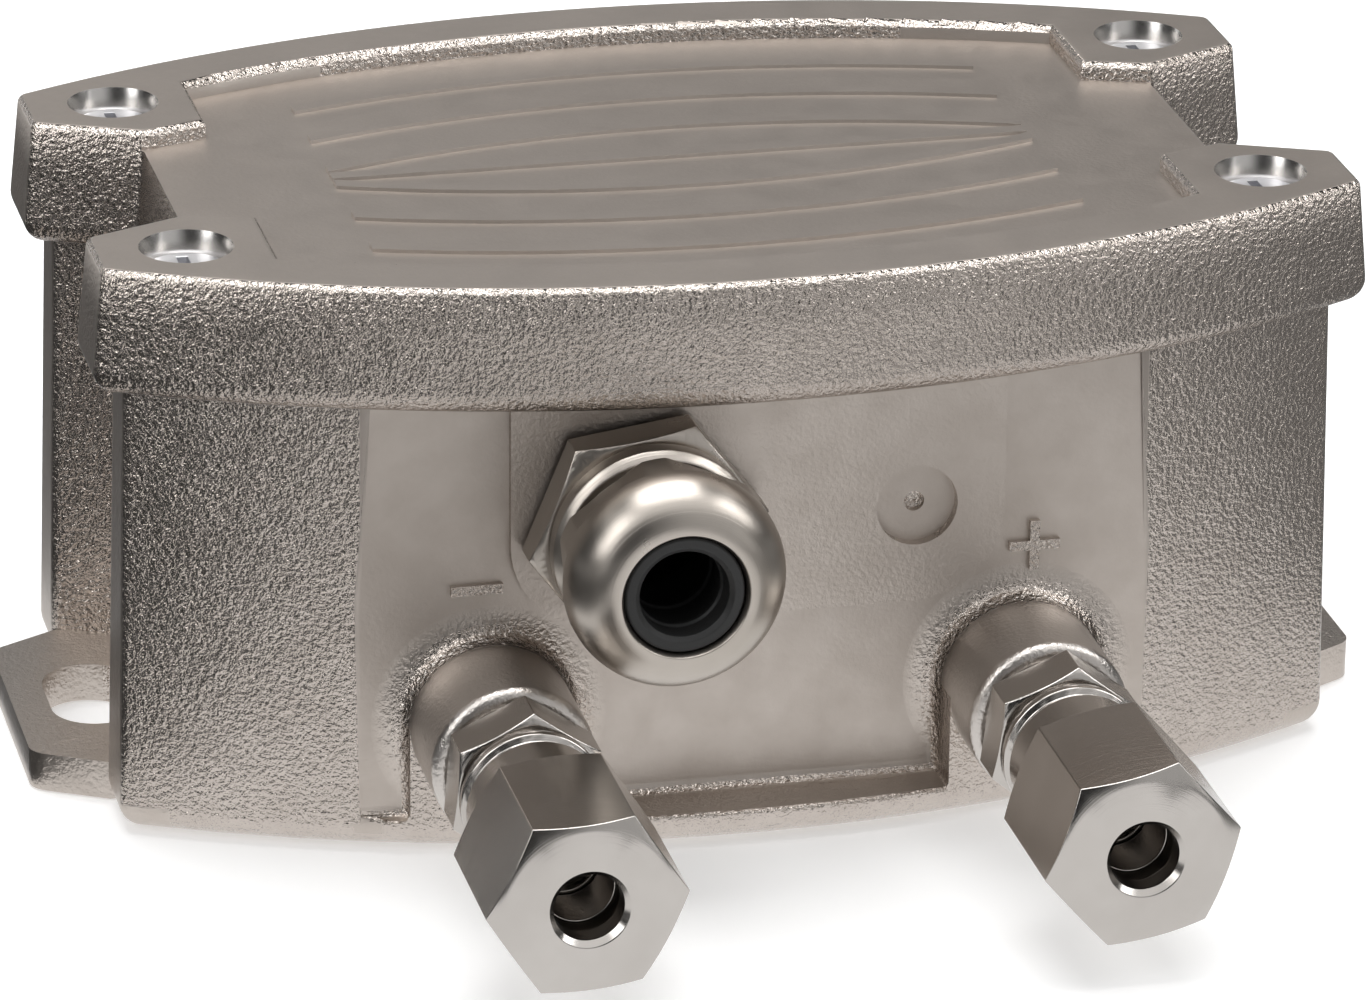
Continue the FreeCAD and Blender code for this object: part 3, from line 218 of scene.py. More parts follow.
# %% Group: turning marks
def make_turning_group():
    """Height of lathe grooves about an axis along Y; a pair of axes is mirrored in X."""
    group, start, end = new_group(
        "turning_marks",
        (("Vector", "Vector", None), ("Axis X", "Float", PORT_X), ("Axis Z", "Float", PORT_Z),
         ("Mirrored", "Float", 1.0), ("Marks per metre", "Float", 4500.0)),
        (("Height", "Float"),))
    parts = add_node(group, "ShaderNodeSeparateXYZ")
    group.links.new(start.outputs["Vector"], parts.inputs[0])
    folded = add_math(group, "ABSOLUTE", parts.outputs["X"])
    choose = add_node(group, "ShaderNodeMix", data_type="FLOAT")
    group.links.new(start.outputs["Mirrored"], choose.inputs["Factor"])
    group.links.new(parts.outputs["X"], choose.inputs["A"])
    group.links.new(folded, choose.inputs["B"])
    across = add_math(group, "SUBTRACT", choose.outputs["Result"], start.outputs["Axis X"])
    above = add_math(group, "SUBTRACT", parts.outputs["Z"], start.outputs["Axis Z"])
    flat = add_math(group, "ADD", add_math(group, "MULTIPLY", across, across),
                    add_math(group, "MULTIPLY", above, above))
    along = add_math(group, "ADD", add_math(group, "SQRT", flat), parts.outputs["Y"])
    marks = add_math(group, "MULTIPLY", along, start.outputs["Marks per metre"])
    noise = add_node(group, "ShaderNodeTexNoise", noise_dimensions="1D",
                     inputs={"Scale": 1.0, "Detail": 3.0, "Roughness": 0.6})
    group.links.new(marks, noise.inputs["W"])
    group.links.new(noise.outputs[0], end.inputs["Height"])
    return group


turning_marks = make_turning_group()
print("group", turning_marks.name)


# %% [markdown]
# ## The nickel-plated casting
# One casting has three kinds of surface: orange peel where the sand or die skin was left, satin
# flats where the mould was smooth, and bright machined spots. Each face of the mesh carries two
# numbers for this, "cast_grain" and "machined". The material reads them as attributes, so one
# material covers the whole casting and the borders fall exactly on the edges.

# %% Casting material
SATIN, PEEL, MACHINED = 0.47, 0.20, 0.24
CLOUD_GLOSS = 0.06
MACHINED_COLOUR = (0.66, 0.64, 0.62, 1)
SKIN_DEPTH = 0.28 * MM


def make_casting(name, clean, dull, depth, roll=0.0, roll_radius=0.009, swept=False):
    """Plated casting; roll is the height above which the walls lean in like a rounded edge."""
    material = new_material(name)
    tree = material.node_tree
    link = tree.links.new
    output = add_node(tree, "ShaderNodeOutputMaterial", (1200, 0))
    shader = add_node(tree, "ShaderNodeBsdfPrincipled", (900, 0), inputs={"Metallic": 1.0})
    link(shader.outputs[0], output.inputs["Surface"])
    where = add_node(tree, "ShaderNodeTexCoord", (-1200, 0)).outputs["Object"]
    grain, machined = [
        add_node(tree, "ShaderNodeAttribute", (-900, row), attribute_name=attribute).outputs["Fac"]
        for attribute, row in (("cast_grain", -500), ("machined", -700))]
    skin = add_node(tree, "ShaderNodeGroup", (-900, -200), node_tree=cast_skin)
    cloud = add_node(tree, "ShaderNodeGroup", (-900, 200), node_tree=smears)
    marble = add_node(tree, "ShaderNodeGroup", (-900, 400), node_tree=smears,
                      inputs={"Clouds per metre": 240.0, "Low": 0.3, "High": 0.75})
    for group in (skin, cloud, marble):
        link(where, group.inputs["Vector"])
    height = add_math(tree, "MULTIPLY", skin.outputs["Height"], depth)
    if swept:
        hollow = add_node(tree, "ShaderNodeGroup", (-900, -900), node_tree=boss_hollow)
        link(where, hollow.inputs["Vector"])
        grain = add_math(tree, "MAXIMUM", grain, hollow.outputs["Mask"])
    height = add_math(tree, "MULTIPLY", height, grain)
    if swept:
        height = add_math(tree, "ADD", height, hollow.outputs["Height"])
    if roll:
        parts = add_node(tree, "ShaderNodeSeparateXYZ", (-900, -1100))
        link(where, parts.inputs[0])
        above = add_math(tree, "MAXIMUM", add_math(tree, "SUBTRACT", parts.outputs["Z"], roll), 0.0)
        lean = add_math(tree, "MULTIPLY", add_math(tree, "MULTIPLY", above, above), -0.5 / roll_radius)
        height = add_math(tree, "ADD", height, lean)
    bump = add_node(tree, "ShaderNodeBump", (600, -300), inputs={"Strength": 1.0, "Distance": 1.0})
    link(height, bump.inputs["Height"])
    link(bump.outputs[0], shader.inputs["Normal"])
    tone = add_node(tree, "ShaderNodeMix", (0, 300), data_type="RGBA")
    tone.inputs["A"].default_value = (*clean, 1)
    tone.inputs["B"].default_value = (*dull, 1)
    both = add_math(tree, "ADD", cloud.outputs["Mask"], marble.outputs["Mask"])
    link(add_math(tree, "MULTIPLY", both, 0.5), tone.inputs["Factor"])
    polished = add_node(tree, "ShaderNodeMix", (300, 300), data_type="RGBA")
    polished.inputs["B"].default_value = MACHINED_COLOUR
    link(machined, polished.inputs["Factor"])
    link(tone.outputs["Result"], polished.inputs["A"])
    link(polished.outputs["Result"], shader.inputs["Base Color"])
    satin = add_node(tree, "ShaderNodeMapRange", (0, 0), inputs={"To Min": SATIN, "To Max": PEEL})
    link(grain, satin.inputs["Value"])
    clouded = add_math(tree, "MULTIPLY", marble.outputs["Mask"], CLOUD_GLOSS)
    gloss = add_math(tree, "ADD", satin.outputs[0], clouded)
    final = add_node(tree, "ShaderNodeMapRange", (300, 0), inputs={"To Max": MACHINED})
    link(machined, final.inputs["Value"])
    link(gloss, final.inputs["To Min"])
    link(final.outputs[0], shader.inputs["Roughness"])
    return material


casting_base = make_casting("nickel_plated_case", (0.575, 0.52, 0.475), (0.51, 0.455, 0.41),
                            SKIN_DEPTH, swept=True)
casting_lid = make_casting("nickel_plated_lid", (0.55, 0.495, 0.45), (0.48, 0.43, 0.39),
                           SKIN_DEPTH, roll=55 * MM, roll_radius=13 * MM)
print("castings:", casting_base.name, casting_lid.name)


# %% [markdown]
# ## The other metals
# One function makes every other metal: base colour between a clean and a duller tone, roughness that
# follows the same smears, and a bump of lathe grooves or fine grain.

# %% Metal materials
def make_metal(name, clean, dull, rough, rough_dull, dimples, depth, clouds=60.0, axis=None):
    """A metal with smears in colour and roughness; axis is (x, z, mirrored) of lathe grooves."""
    material = new_material(name)
    tree = material.node_tree
    output = add_node(tree, "ShaderNodeOutputMaterial", (900, 0))
    shader = add_node(tree, "ShaderNodeBsdfPrincipled", (600, 0), inputs={"Metallic": 1.0})
    tree.links.new(shader.outputs[0], output.inputs["Surface"])
    where = add_node(tree, "ShaderNodeTexCoord", (-900, 0)).outputs["Object"]
    if axis:
        relief = add_node(tree, "ShaderNodeGroup", (-600, -200), node_tree=turning_marks,
                          inputs={"Axis X": axis[0], "Axis Z": axis[1], "Mirrored": axis[2],
                                  "Marks per metre": dimples})
    else:
        relief = add_node(tree, "ShaderNodeGroup", (-600, -200), node_tree=cast_skin,
                          inputs={"Dimples per metre": dimples, "Grain per metre": dimples * 3.5})
    cloud = add_node(tree, "ShaderNodeGroup", (-600, 200), node_tree=smears,
                     inputs={"Clouds per metre": clouds})
    for group in (relief, cloud):
        tree.links.new(where, group.inputs["Vector"])
    tone = add_node(tree, "ShaderNodeMix", (-200, 300), data_type="RGBA")
    tone.inputs["A"].default_value = (*clean, 1)
    tone.inputs["B"].default_value = (*dull, 1)
    tree.links.new(cloud.outputs["Mask"], tone.inputs["Factor"])
    tree.links.new(tone.outputs["Result"], shader.inputs["Base Color"])
    gloss = add_node(tree, "ShaderNodeMapRange", (-200, 100),
                     inputs={"To Min": rough, "To Max": rough_dull})
    tree.links.new(cloud.outputs["Mask"], gloss.inputs["Value"])
    tree.links.new(gloss.outputs[0], shader.inputs["Roughness"])
    bump = add_node(tree, "ShaderNodeBump", (200, -300), inputs={"Strength": 1.0, "Distance": depth})
    tree.links.new(relief.outputs["Height"], bump.inputs["Height"])
    tree.links.new(bump.outputs[0], shader.inputs["Normal"])
    return material


def make_plain(name, colour, dull, rough, grain_size, depth):
    """Moulded plastic, rubber or laminate with a faint grain and tone changes."""
    material = make_metal(name, colour, dull, rough, min(rough + 0.15, 1.0), grain_size, depth, 90.0)
    shader = [node for node in material.node_tree.nodes if node.type == "BSDF_PRINCIPLED"][0]
    shader.inputs["Metallic"].default_value = 0.0
    return material


finishes = {
    "fitting_steel": make_metal("stainless_steel", (0.56, 0.53, 0.50), (0.49, 0.46, 0.43),
                                0.17, 0.25, 5000.0, 0.000012, axis=(PORT_X, PORT_Z, 1.0)),
    "gland_metal": make_metal("nickel_plated_brass", (0.52, 0.475, 0.43), (0.45, 0.41, 0.365),
                              0.27, 0.34, 4500.0, 0.000014, axis=(GLAND_X, GLAND_Z, 0.0)),
    "zinc_screws": make_metal("bright_zinc", (0.82, 0.82, 0.84), (0.70, 0.70, 0.73),
                              0.32, 0.42, 3000.0, 0.00001),
    "terminal_brass": make_metal("bare_brass", (0.70, 0.52, 0.22), (0.58, 0.42, 0.18),
                                 0.22, 0.34, 3000.0, 0.00001),
    "seal_rubber": make_plain("black_rubber", (0.012, 0.012, 0.012), (0.02, 0.02, 0.02),
                              0.45, 2500.0, 0.00003),
    "gland_plastic": make_plain("black_polyamide", (0.02, 0.02, 0.02), (0.03, 0.03, 0.03),
                                0.4, 2500.0, 0.00002),
    "hose_silicone": make_plain("silicone_hose", (0.72, 0.70, 0.64), (0.62, 0.60, 0.54),
                                0.35, 2500.0, 0.00002),
    "sensor_plastic": make_plain("white_sensor_plastic", (0.80, 0.79, 0.75), (0.72, 0.71, 0.67),
                                 0.4, 2500.0, 0.00002),
    "board_laminate": make_plain("green_laminate", (0.03, 0.16, 0.06), (0.02, 0.12, 0.05),
                                 0.25, 1500.0, 0.00001),
    "terminal_plastic": make_plain("green_polyamide", (0.08, 0.36, 0.16), (0.06, 0.30, 0.13),
                                   0.4, 2500.0, 0.00002),
}
print(len(finishes), "finishes")

# %% [markdown]
# ## Which face has which skin
# The casting's faces are told apart by where they are and which way they look. These rules are the
# only place that knows it: flat front and gland pad are satin, the curved walls are orange peel, the
# narrow ends and the rims are smoother, the bosses are half polished, and the counterbores are
# machined bright.

# %% Skin of each face
COUNTERBORE_R, SCREW_SEAT_Z, LID_RIM_Z = 4.72 * MM, 56 * MM, 59.2 * MM
BOSS_SKIN_R, PAD_RISE, LUG_TOP = 8.6 * MM, 0.9 * MM, 4.5 * MM


def lid_skin(at, normal):
    """Orange peel and machined share of one face of the lid."""
    reach = math.hypot(abs(at.x) - SCREW_X, abs(at.y) - SCREW_Y)
    in_bore = reach < COUNTERBORE_R and 0.052 < at.z < 0.0595
    if in_bore and (normal.z < 0.5 or at.z < SCREW_SEAT_Z):
        return 0.0, 1.0
    if normal.z > 0.9:
        return (0.08 if at.z > LID_RIM_Z else 0.12), 0.0
    if 0.0579 < at.z < 0.0587 and abs(at.x) < 0.046 and abs(at.y) < 0.03 and normal.z > -0.5:
        return 0.12, 0.0
    if abs(normal.x) > 0.94 and abs(at.x) > 0.0615:
        return 0.3, 0.0
    if at.z < 0.0475 and normal.z < -0.9:
        return 0.3, 0.0
    return 1.0, 0.0


def base_skin(at, normal):
    """Orange peel and machined share of one face of the base."""
    boss = math.hypot(abs(at.x) - PORT_X, at.z - PORT_Z)
    step = at.y - FRONT_Y - (at.z - GLAND_Z) * FRONT_LEAN
    if normal.y < -0.9 and abs(step) < 0.0004:
        return 0.07, 0.0
    if normal.y < -0.9 and abs(step + PAD_RISE) < 0.2 * MM and at.z > 0.02:
        return 0.20, 0.0
    if at.y < FRONT_Y - 0.2 * MM and boss < BOSS_SKIN_R and at.z < 0.023:
        return 0.3, 0.5
    if abs(normal.x) > 0.94 and abs(at.x) > 0.0595 and at.z > 0.005:
        return 0.3, 0.0
    if abs(at.x) > 0.0585 and at.z < LUG_TOP:
        return 0.45, 0.0
    if abs(normal.z) > 0.9:
        return 0.4, 0.0
    return 1.0, 0.0


# %% [markdown]
# ## Dressing the solids
# A CAD solid has knife-sharp edges. Real castings and turned parts have small radii that catch the
# light, so each solid is copied, its triangles are merged into clean faces, and a Bevel with
# weighted normals softens what is sharp. The low ribs of the lid are almost worn away by the
# plating, so their tops are lowered a little, and the lid screws get a slimmer shank that carries a
# real thread later. The nuts and the insert are left for the next cells.

# %% Soften a solid
def lower_ribs(work):
    """Moves the tops of the lid's ribs down to the height that shows on the real lid."""
    for vert in work.verts:
        if 0.0583 < vert.co.z < 0.0587:
            vert.co.z -= 0.13 * MM


def lean_front(work):
    """Tilts the flat front like the walls beside it, so that its side edges stand upright."""
    corner = 39.9 * MM
    for vert in work.verts:
        at = vert.co
        if not (BOSS_ROOT_Y < at.y < -0.0320 and at.z > 0.003):
            continue
        lean = (at.z - GLAND_Z) * FRONT_LEAN
        radius = WALL_RADIUS + (BASE_TOP - at.z) * FRONT_LEAN
        if abs(at.y - FRONT_Y) < 2e-5 and 0.0380 < abs(at.x) < 0.0425:
            depth = WALL_CENTRE_Y - FRONT_Y - lean
            at.x = math.copysign(math.sqrt(radius ** 2 - depth ** 2), at.x)
            at.y += lean
        elif abs(at.x) < 0.0375:
            at.y += lean
        elif at.z < 0.0049 and corner < abs(at.x) < 0.0430:
            near = corner + (abs(at.x) - corner) * 0.05
            at.x = math.copysign(near, at.x)
            at.y = WALL_CENTRE_Y - math.sqrt(radius ** 2 - near ** 2)


def slim_shank(work, x, y):
    """Moves a screw's shank in to the root of its thread."""
    for vert in work.verts:
        out = Vector((vert.co.x - x, vert.co.y - y, 0))
        if 2.2 * MM < out.length < 2.6 * MM and vert.co.z < 0.0505:
            vert.co.x, vert.co.y = x + out.x * 0.85, y + out.y * 0.85


def sharpen_skin_borders(work, grain):
    """Keeps the low bends between satin and orange peel crisp in the shading."""
    for border in work.edges:
        faces = border.link_faces
        if len(faces) == 2 and abs(faces[0][grain] - faces[1][grain]) > 0.5:
            if 0.1 < faces[0].normal.angle(faces[1].normal, 0) < 0.5:
                border.smooth = False


def dress(node, body, edge, name):
    """A softened copy of a CAD node, riding on its body in its place."""
    source = frame["nodes"][node]
    mesh = bpy.data.meshes.new(name)
    work = bmesh.new()
    work.from_mesh(source.data)
    bmesh.ops.remove_doubles(work, verts=work.verts, dist=2e-6)
    bmesh.ops.dissolve_limit(work, angle_limit=math.radians(0.6), verts=work.verts, edges=work.edges)
    if node == "lid":
        lower_ribs(work)
    if node == "housing_base":
        lean_front(work)
    if node.startswith("lid_screw"):
        low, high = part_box(node)
        slim_shank(work, (low[0] + high[0]) / 2, (low[1] + high[1]) / 2)
    skin_of = {"lid": lid_skin, "housing_base": base_skin}.get(node)
    if skin_of:
        grain = work.faces.layers.float.new("cast_grain")
        machined = work.faces.layers.float.new("machined")
        for face in work.faces:
            face[grain], face[machined] = skin_of(face.calc_center_median(), face.normal)
        if node == "housing_base":
            sharpen_skin_borders(work, grain)
    work.to_mesh(mesh)
    work.free()
    return finish(mesh, node, body, edge, name)


def finish(mesh, node, body, edge, name):
    for polygon in mesh.polygons:
        polygon.use_smooth = True
    piece = bpy.data.objects.new(name, mesh)
    bpy.context.scene.collection.objects.link(piece)
    bevel = piece.modifiers.new("soft_edges", "BEVEL")
    bevel.width = edge
    bevel.segments = 2
    bevel.limit_method = "ANGLE"
    bevel.angle_limit = math.radians(32)
    bevel.harden_normals = True
    weights = piece.modifiers.new("even_normals", "WEIGHTED_NORMAL")
    weights.keep_sharp = True
    material = {"lid": casting_lid, "housing_base": casting_base}.get(node) or finishes[slot_of[node]]
    mesh.materials.append(material)
    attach(piece, body)
    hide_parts(node)
    return piece


slot_of = {part["node"]: part["material_slot"] for part in frame["record"]["subparts"]}
body_of = {node: body for body, nodes in frame["record"]["behaviour"]["bodies"].items()
           for node in nodes}
EDGE, SMALL_EDGE = {"housing_base": 0.25 * MM, "lid": 0.2 * MM}, 0.12 * MM
TURNED = ("union_nut_minus", "union_nut_plus", "gland_dome_nut", "gland_seal")
for node in sorted(set(slot_of) - set(TURNED)):
    dress(node, body_of[node], EDGE.get(node, SMALL_EDGE), "dressed_" + node)
print("dressed", len(slot_of) - len(TURNED), "solids")

# %% [markdown]
# ## Nuts and the sealing insert
# A nut is a hexagon bar that is turned at its ends: a cone cuts the six corners, and where it
# crosses the flats it leaves the curved lines that make a nut look like a nut. Here a nut is built
# ring by ring. A ring is round, or it follows the hexagon and leans by the cone, so the curved lines
# come out exactly. The dome nut and the black insert are built the same way. Each row is a ring's
# place along the axis and its radius, in millimetres, and the rows run once round the section.

# %% Rings about an axis
CONE = math.tan(math.radians(30))


def hexagon_radius(flats, angle):
    """Distance from the axis to a hexagon's side; angle is counted from a corner."""
    return flats / 2 / math.cos((angle % math.radians(60)) - math.radians(30))


def first_corner(node, axis):
    """The angle of the corner of a CAD nut that lies farthest from its axis."""
    points = [(vert.co.x - axis[0], vert.co.z - axis[1]) for vert in frame["nodes"][node].data.vertices]
    x, z = max(points, key=lambda point: math.hypot(*point))
    return math.atan2(z, x)


def spin_rings(node, axis, rows, flats=0.0, widest=1.0, steps=180, edge=0.1 * MM):
    """A closed ring of rows (y, radius) or (y, None, cone's first radius, direction) on the hexagon."""
    turn = first_corner(node, axis) if flats else 0.0
    work = bmesh.new()
    rings = []
    for row in rows:
        ring = []
        for step in range(steps):
            angle = 2 * math.pi * step / steps
            y, radius = row[0], row[1]
            if radius is None:
                radius = min(hexagon_radius(flats, angle), widest)
                y += max(radius - row[2], 0) * CONE * row[3]
            ring.append(work.verts.new((axis[0] + radius * math.cos(angle + turn), y,
                                        axis[1] + radius * math.sin(angle + turn))))
        rings.append(ring)
    for here, following in zip(rings, rings[1:] + rings[:1]):
        for step in range(steps):
            after = (step + 1) % steps
            work.faces.new((here[step], here[after], following[after], following[step]))
    bmesh.ops.recalc_face_normals(work, faces=work.faces)
    name = "turned_" + node
    mesh = bpy.data.meshes.new(name)
    work.to_mesh(mesh)
    work.free()
    print(name, len(mesh.polygons), "faces")
    return finish(mesh, node, body_of[node], edge, name)


# %% Union nuts
def millimetres(rows):
    """Rows given in millimetres, in metres; cone directions stay as they are."""
    return [tuple(value * MM if index < 3 and value is not None else value
                  for index, value in enumerate(row)) for row in rows]


NUT_FACE, NUT_BACK, NUT_BORE, NUT_THREAD = -78.8, -62.4, 3.35, 7.0
outside = [(NUT_FACE, 3.95), (NUT_FACE, 7.85), (NUT_FACE, None, 7.85, 1), (NUT_BACK, None, 8.3, -1),
           (NUT_BACK, 8.3)]
inside = [(NUT_BACK, 7.5), (-62.9, NUT_THREAD), (-72.5, NUT_THREAD), (-76.15, NUT_BORE),
          (-78.2, NUT_BORE)]
for node, side in (("union_nut_minus", -1), ("union_nut_plus", 1)):
    spin_rings(node, (side * PORT_X, PORT_Z), millimetres(outside + inside), flats=17 * MM)

# %% Dome nut and insert
DOME_WIDEST, DOME_BEND, DOME_MOUTH, DOME_THREAD = 10.9, 5.14, 6.05, 8.7
dome = [(-49.0 - DOME_BEND * math.sin(math.radians(turn)),
         DOME_WIDEST - DOME_BEND * (1 - math.cos(math.radians(turn))))
        for turn in (76.6, 68, 59, 50, 41, 32, 23, 14, 6, 0)]
hexagon = [(-48.3, DOME_WIDEST), (-48.0, None, 12.0, 1), (-45.0, None, 12.0, 1), (-44.6, 9.9)]
bore = [(-44.6, DOME_THREAD), (-48.4, DOME_THREAD), (-51.05, DOME_MOUTH)]
spin_rings("gland_dome_nut", (GLAND_X, GLAND_Z),
           millimetres([(-53.5, DOME_MOUTH), (-54.0, 6.35)] + dome + hexagon + bore),
           flats=20 * MM, widest=DOME_WIDEST * MM)
spin_rings("gland_seal", (GLAND_X, GLAND_Z), millimetres((
    (-39.5, 4.35), (-39.5, 6.35), (-48.0, 6.35), (-50.6, 5.93), (-53.3, 5.93), (-53.5, 5.75),
    (-53.5, 4.9), (-53.1, 4.4), (-51.0, 4.35), (-50.7, 4.1), (-50.3, 4.1), (-50.0, 4.35),
    (-46.5, 4.35), (-46.2, 4.1), (-45.8, 4.1), (-45.5, 4.35))))

# %% [markdown]
# ## Threads
# A thread is a ridge that follows a helix, so it's a natural job for Geometry Nodes: a spiral curve,
# a small pointed profile, and Curve to Mesh. The same tree serves all four lid screws. Its named
# inputs set the root, the pitch and the number of turns.

# %% Geometry Nodes: a thread
def make_thread_tree():
    """Spiral curve swept with a pointed profile; ends in Realize Instances and Set Material."""
    tree = bpy.data.node_groups.new("thread", "GeometryNodeTree")
    for name, kind, value in (("Root radius", "Float", 0.002), ("Pitch", "Float", 0.0008),
                              ("Turns", "Float", 10.0), ("Depth", "Float", 0.0004),
                              ("Steps per turn", "Int", 40), ("Material", "Material", None)):
        socket = tree.interface.new_socket(name, in_out="INPUT", socket_type="NodeSocket" + kind)
        if value is not None:
            socket.default_value = value
    tree.interface.new_socket("Geometry", in_out="OUTPUT", socket_type="NodeSocketGeometry")
    start, end = add_node(tree, "NodeGroupInput"), add_node(tree, "NodeGroupOutput")
    link = tree.links.new
    spiral = add_node(tree, "GeometryNodeCurveSpiral")
    link(start.outputs["Steps per turn"], spiral.inputs["Resolution"])
    link(start.outputs["Turns"], spiral.inputs["Rotations"])
    link(start.outputs["Root radius"], spiral.inputs["Start Radius"])
    link(start.outputs["Root radius"], spiral.inputs["End Radius"])
    rise = add_math(tree, "MULTIPLY", start.outputs["Pitch"], start.outputs["Turns"])
    link(rise, spiral.inputs["Height"])
    profile = add_node(tree, "GeometryNodeCurvePrimitiveCircle")
    profile.inputs["Resolution"].default_value = 4
    link(start.outputs["Depth"], profile.inputs["Radius"])
    sweep = add_node(tree, "GeometryNodeCurveToMesh")
    sweep.inputs["Fill Caps"].default_value = True
    link(spiral.outputs[0], sweep.inputs["Curve"])
    link(profile.outputs[0], sweep.inputs["Profile Curve"])
    real = add_node(tree, "GeometryNodeRealizeInstances")
    link(sweep.outputs[0], real.inputs[0])
    paint = add_node(tree, "GeometryNodeSetMaterial")
    link(real.outputs[0], paint.inputs["Geometry"])
    link(start.outputs["Material"], paint.inputs["Material"])
    link(paint.outputs[0], end.inputs[0])
    return tree


def grow(tree, name, body, slot, where, **values):
    """Runs a Geometry Nodes tree once and keeps its result as a plain mesh piece on a body."""
    carrier = bpy.data.objects.new("carrier", bpy.data.meshes.new("carrier"))
    bpy.context.scene.collection.objects.link(carrier)
    modifier = carrier.modifiers.new("grow", "NODES")
    modifier.node_group = tree
    for item in tree.interface.items_tree:
        if item.in_out == "INPUT" and item.name in values:
            modifier[item.identifier] = values[item.name]
    depsgraph = bpy.context.evaluated_depsgraph_get()
    mesh = bpy.data.meshes.new_from_object(carrier.evaluated_get(depsgraph))
    mesh.name = name
    bpy.data.objects.remove(carrier)
    mesh.transform(where)
    work = bmesh.new()
    work.from_mesh(mesh)
    bmesh.ops.remove_doubles(work, verts=work.verts, dist=1e-6)
    bmesh.ops.recalc_face_normals(work, faces=work.faces)
    work.to_mesh(mesh)
    work.free()
    piece = bpy.data.objects.new(name, mesh)
    bpy.context.scene.collection.objects.link(piece)
    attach(piece, body)
    print(name, len(mesh.polygons), "faces")
    return piece


thread = make_thread_tree()
THREAD_START_Z = 30.5 * MM
for side_x, side_y, corner in ((-1, -1, "front_left"), (1, -1, "front_right"), (-1, 1, "rear_left"),
                               (1, 1, "rear_right")):
    grow(thread, "thread_of_screw_" + corner, "screw_" + corner, "zinc_screws",
         Matrix.Translation((side_x * SCREW_X, side_y * SCREW_Y, THREAD_START_Z)),
         **{"Root radius": 2.08 * MM, "Pitch": 0.8 * MM, "Turns": 18.0, "Depth": 0.36 * MM,
            "Steps per turn": 32, "Material": finishes["zinc_screws"]})

# %% [markdown]
# ## Parts on the circuit board
# Under the lid the board carries small moulded chips and resistors. They repeat, so Geometry Nodes
# set them out: a grid of points, a seeded choice of which points are used, and one drafted block per
# point, turned by a quarter or not.

# %% Geometry Nodes: small parts on the board
def make_chips_tree():
    """Drafted blocks on a thinned grid; ends in Realize Instances and Set Material."""
    tree = bpy.data.node_groups.new("board_chips", "GeometryNodeTree")
    for name, kind, value in (("Length", "Float", 0.02), ("Width", "Float", 0.02), ("Columns", "Int", 5),
                              ("Rows", "Int", 4), ("Chip length", "Float", 0.003),
                              ("Chip width", "Float", 0.0018), ("Chip height", "Float", 0.0012),
                              ("Seed", "Int", 3), ("Material", "Material", None)):
        socket = tree.interface.new_socket(name, in_out="INPUT", socket_type="NodeSocket" + kind)
        if value is not None:
            socket.default_value = value
    tree.interface.new_socket("Geometry", in_out="OUTPUT", socket_type="NodeSocketGeometry")
    start, end = add_node(tree, "NodeGroupInput"), add_node(tree, "NodeGroupOutput")
    link = tree.links.new
    grid = add_node(tree, "GeometryNodeMeshGrid")
    for name, socket in (("Length", "Size X"), ("Width", "Size Y"), ("Columns", "Vertices X"),
                         ("Rows", "Vertices Y")):
        link(start.outputs[name], grid.inputs[socket])
    block = add_node(tree, "GeometryNodeMeshCone", inputs={
        "Vertices": 4, "Radius Top": 0.62, "Radius Bottom": 0.707, "Depth": 1.0})
    turned = add_node(tree, "GeometryNodeTransform")
    turned.inputs["Translation"].default_value = (0, 0, -0.5)
    turned.inputs["Rotation"].default_value = (0, 0, math.pi / 4)
    link(block.outputs["Mesh"], turned.inputs["Geometry"])
    size = add_node(tree, "ShaderNodeCombineXYZ")
    for name, socket in (("Chip length", "X"), ("Chip width", "Y"), ("Chip height", "Z")):
        link(start.outputs[name], size.inputs[socket])
    keep = add_node(tree, "FunctionNodeRandomValue", data_type="BOOLEAN")
    keep.inputs["Probability"].default_value = 0.75
    link(start.outputs["Seed"], keep.inputs["Seed"])
    turn = add_node(tree, "FunctionNodeRandomValue", data_type="INT")
    turn.inputs[4].default_value, turn.inputs[5].default_value = 0, 1
    link(start.outputs["Seed"], turn.inputs["Seed"])
    angle = add_math(tree, "MULTIPLY", turn.outputs[2], math.pi / 2)
    rotation = add_node(tree, "ShaderNodeCombineXYZ")
    link(angle, rotation.inputs["Z"])
    place = add_node(tree, "GeometryNodeInstanceOnPoints")
    link(grid.outputs["Mesh"], place.inputs["Points"])
    link(keep.outputs[3], place.inputs["Selection"])
    link(turned.outputs[0], place.inputs["Instance"])
    link(rotation.outputs[0], place.inputs["Rotation"])
    link(size.outputs[0], place.inputs["Scale"])
    real = add_node(tree, "GeometryNodeRealizeInstances")
    link(place.outputs[0], real.inputs[0])
    paint = add_node(tree, "GeometryNodeSetMaterial")
    link(real.outputs[0], paint.inputs["Geometry"])
    link(start.outputs["Material"], paint.inputs["Material"])
    link(paint.outputs[0], end.inputs[0])
    return tree


chips = make_chips_tree()
board_low, board_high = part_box("circuit_board")
print("board top at", board_high[2])
for name, x, y, long, wide, high, seed, slot in (
        ("board_chips_large", -0.016, 0.014, 4.6, 3.9, 1.4, 5, "gland_plastic"),
        ("board_parts_small", 0.014, 0.015, 2.0, 1.2, 0.7, 9, "sensor_plastic")):
    grow(chips, name, "base", slot, Matrix.Translation((x, y, board_high[2] + high * MM / 2)),
         **{"Length": 22 * MM, "Width": 15 * MM, "Columns": 4, "Rows": 3,
            "Chip length": long * MM, "Chip width": wide * MM, "Chip height": high * MM, "Seed": seed,
            "Material": finishes[slot]})

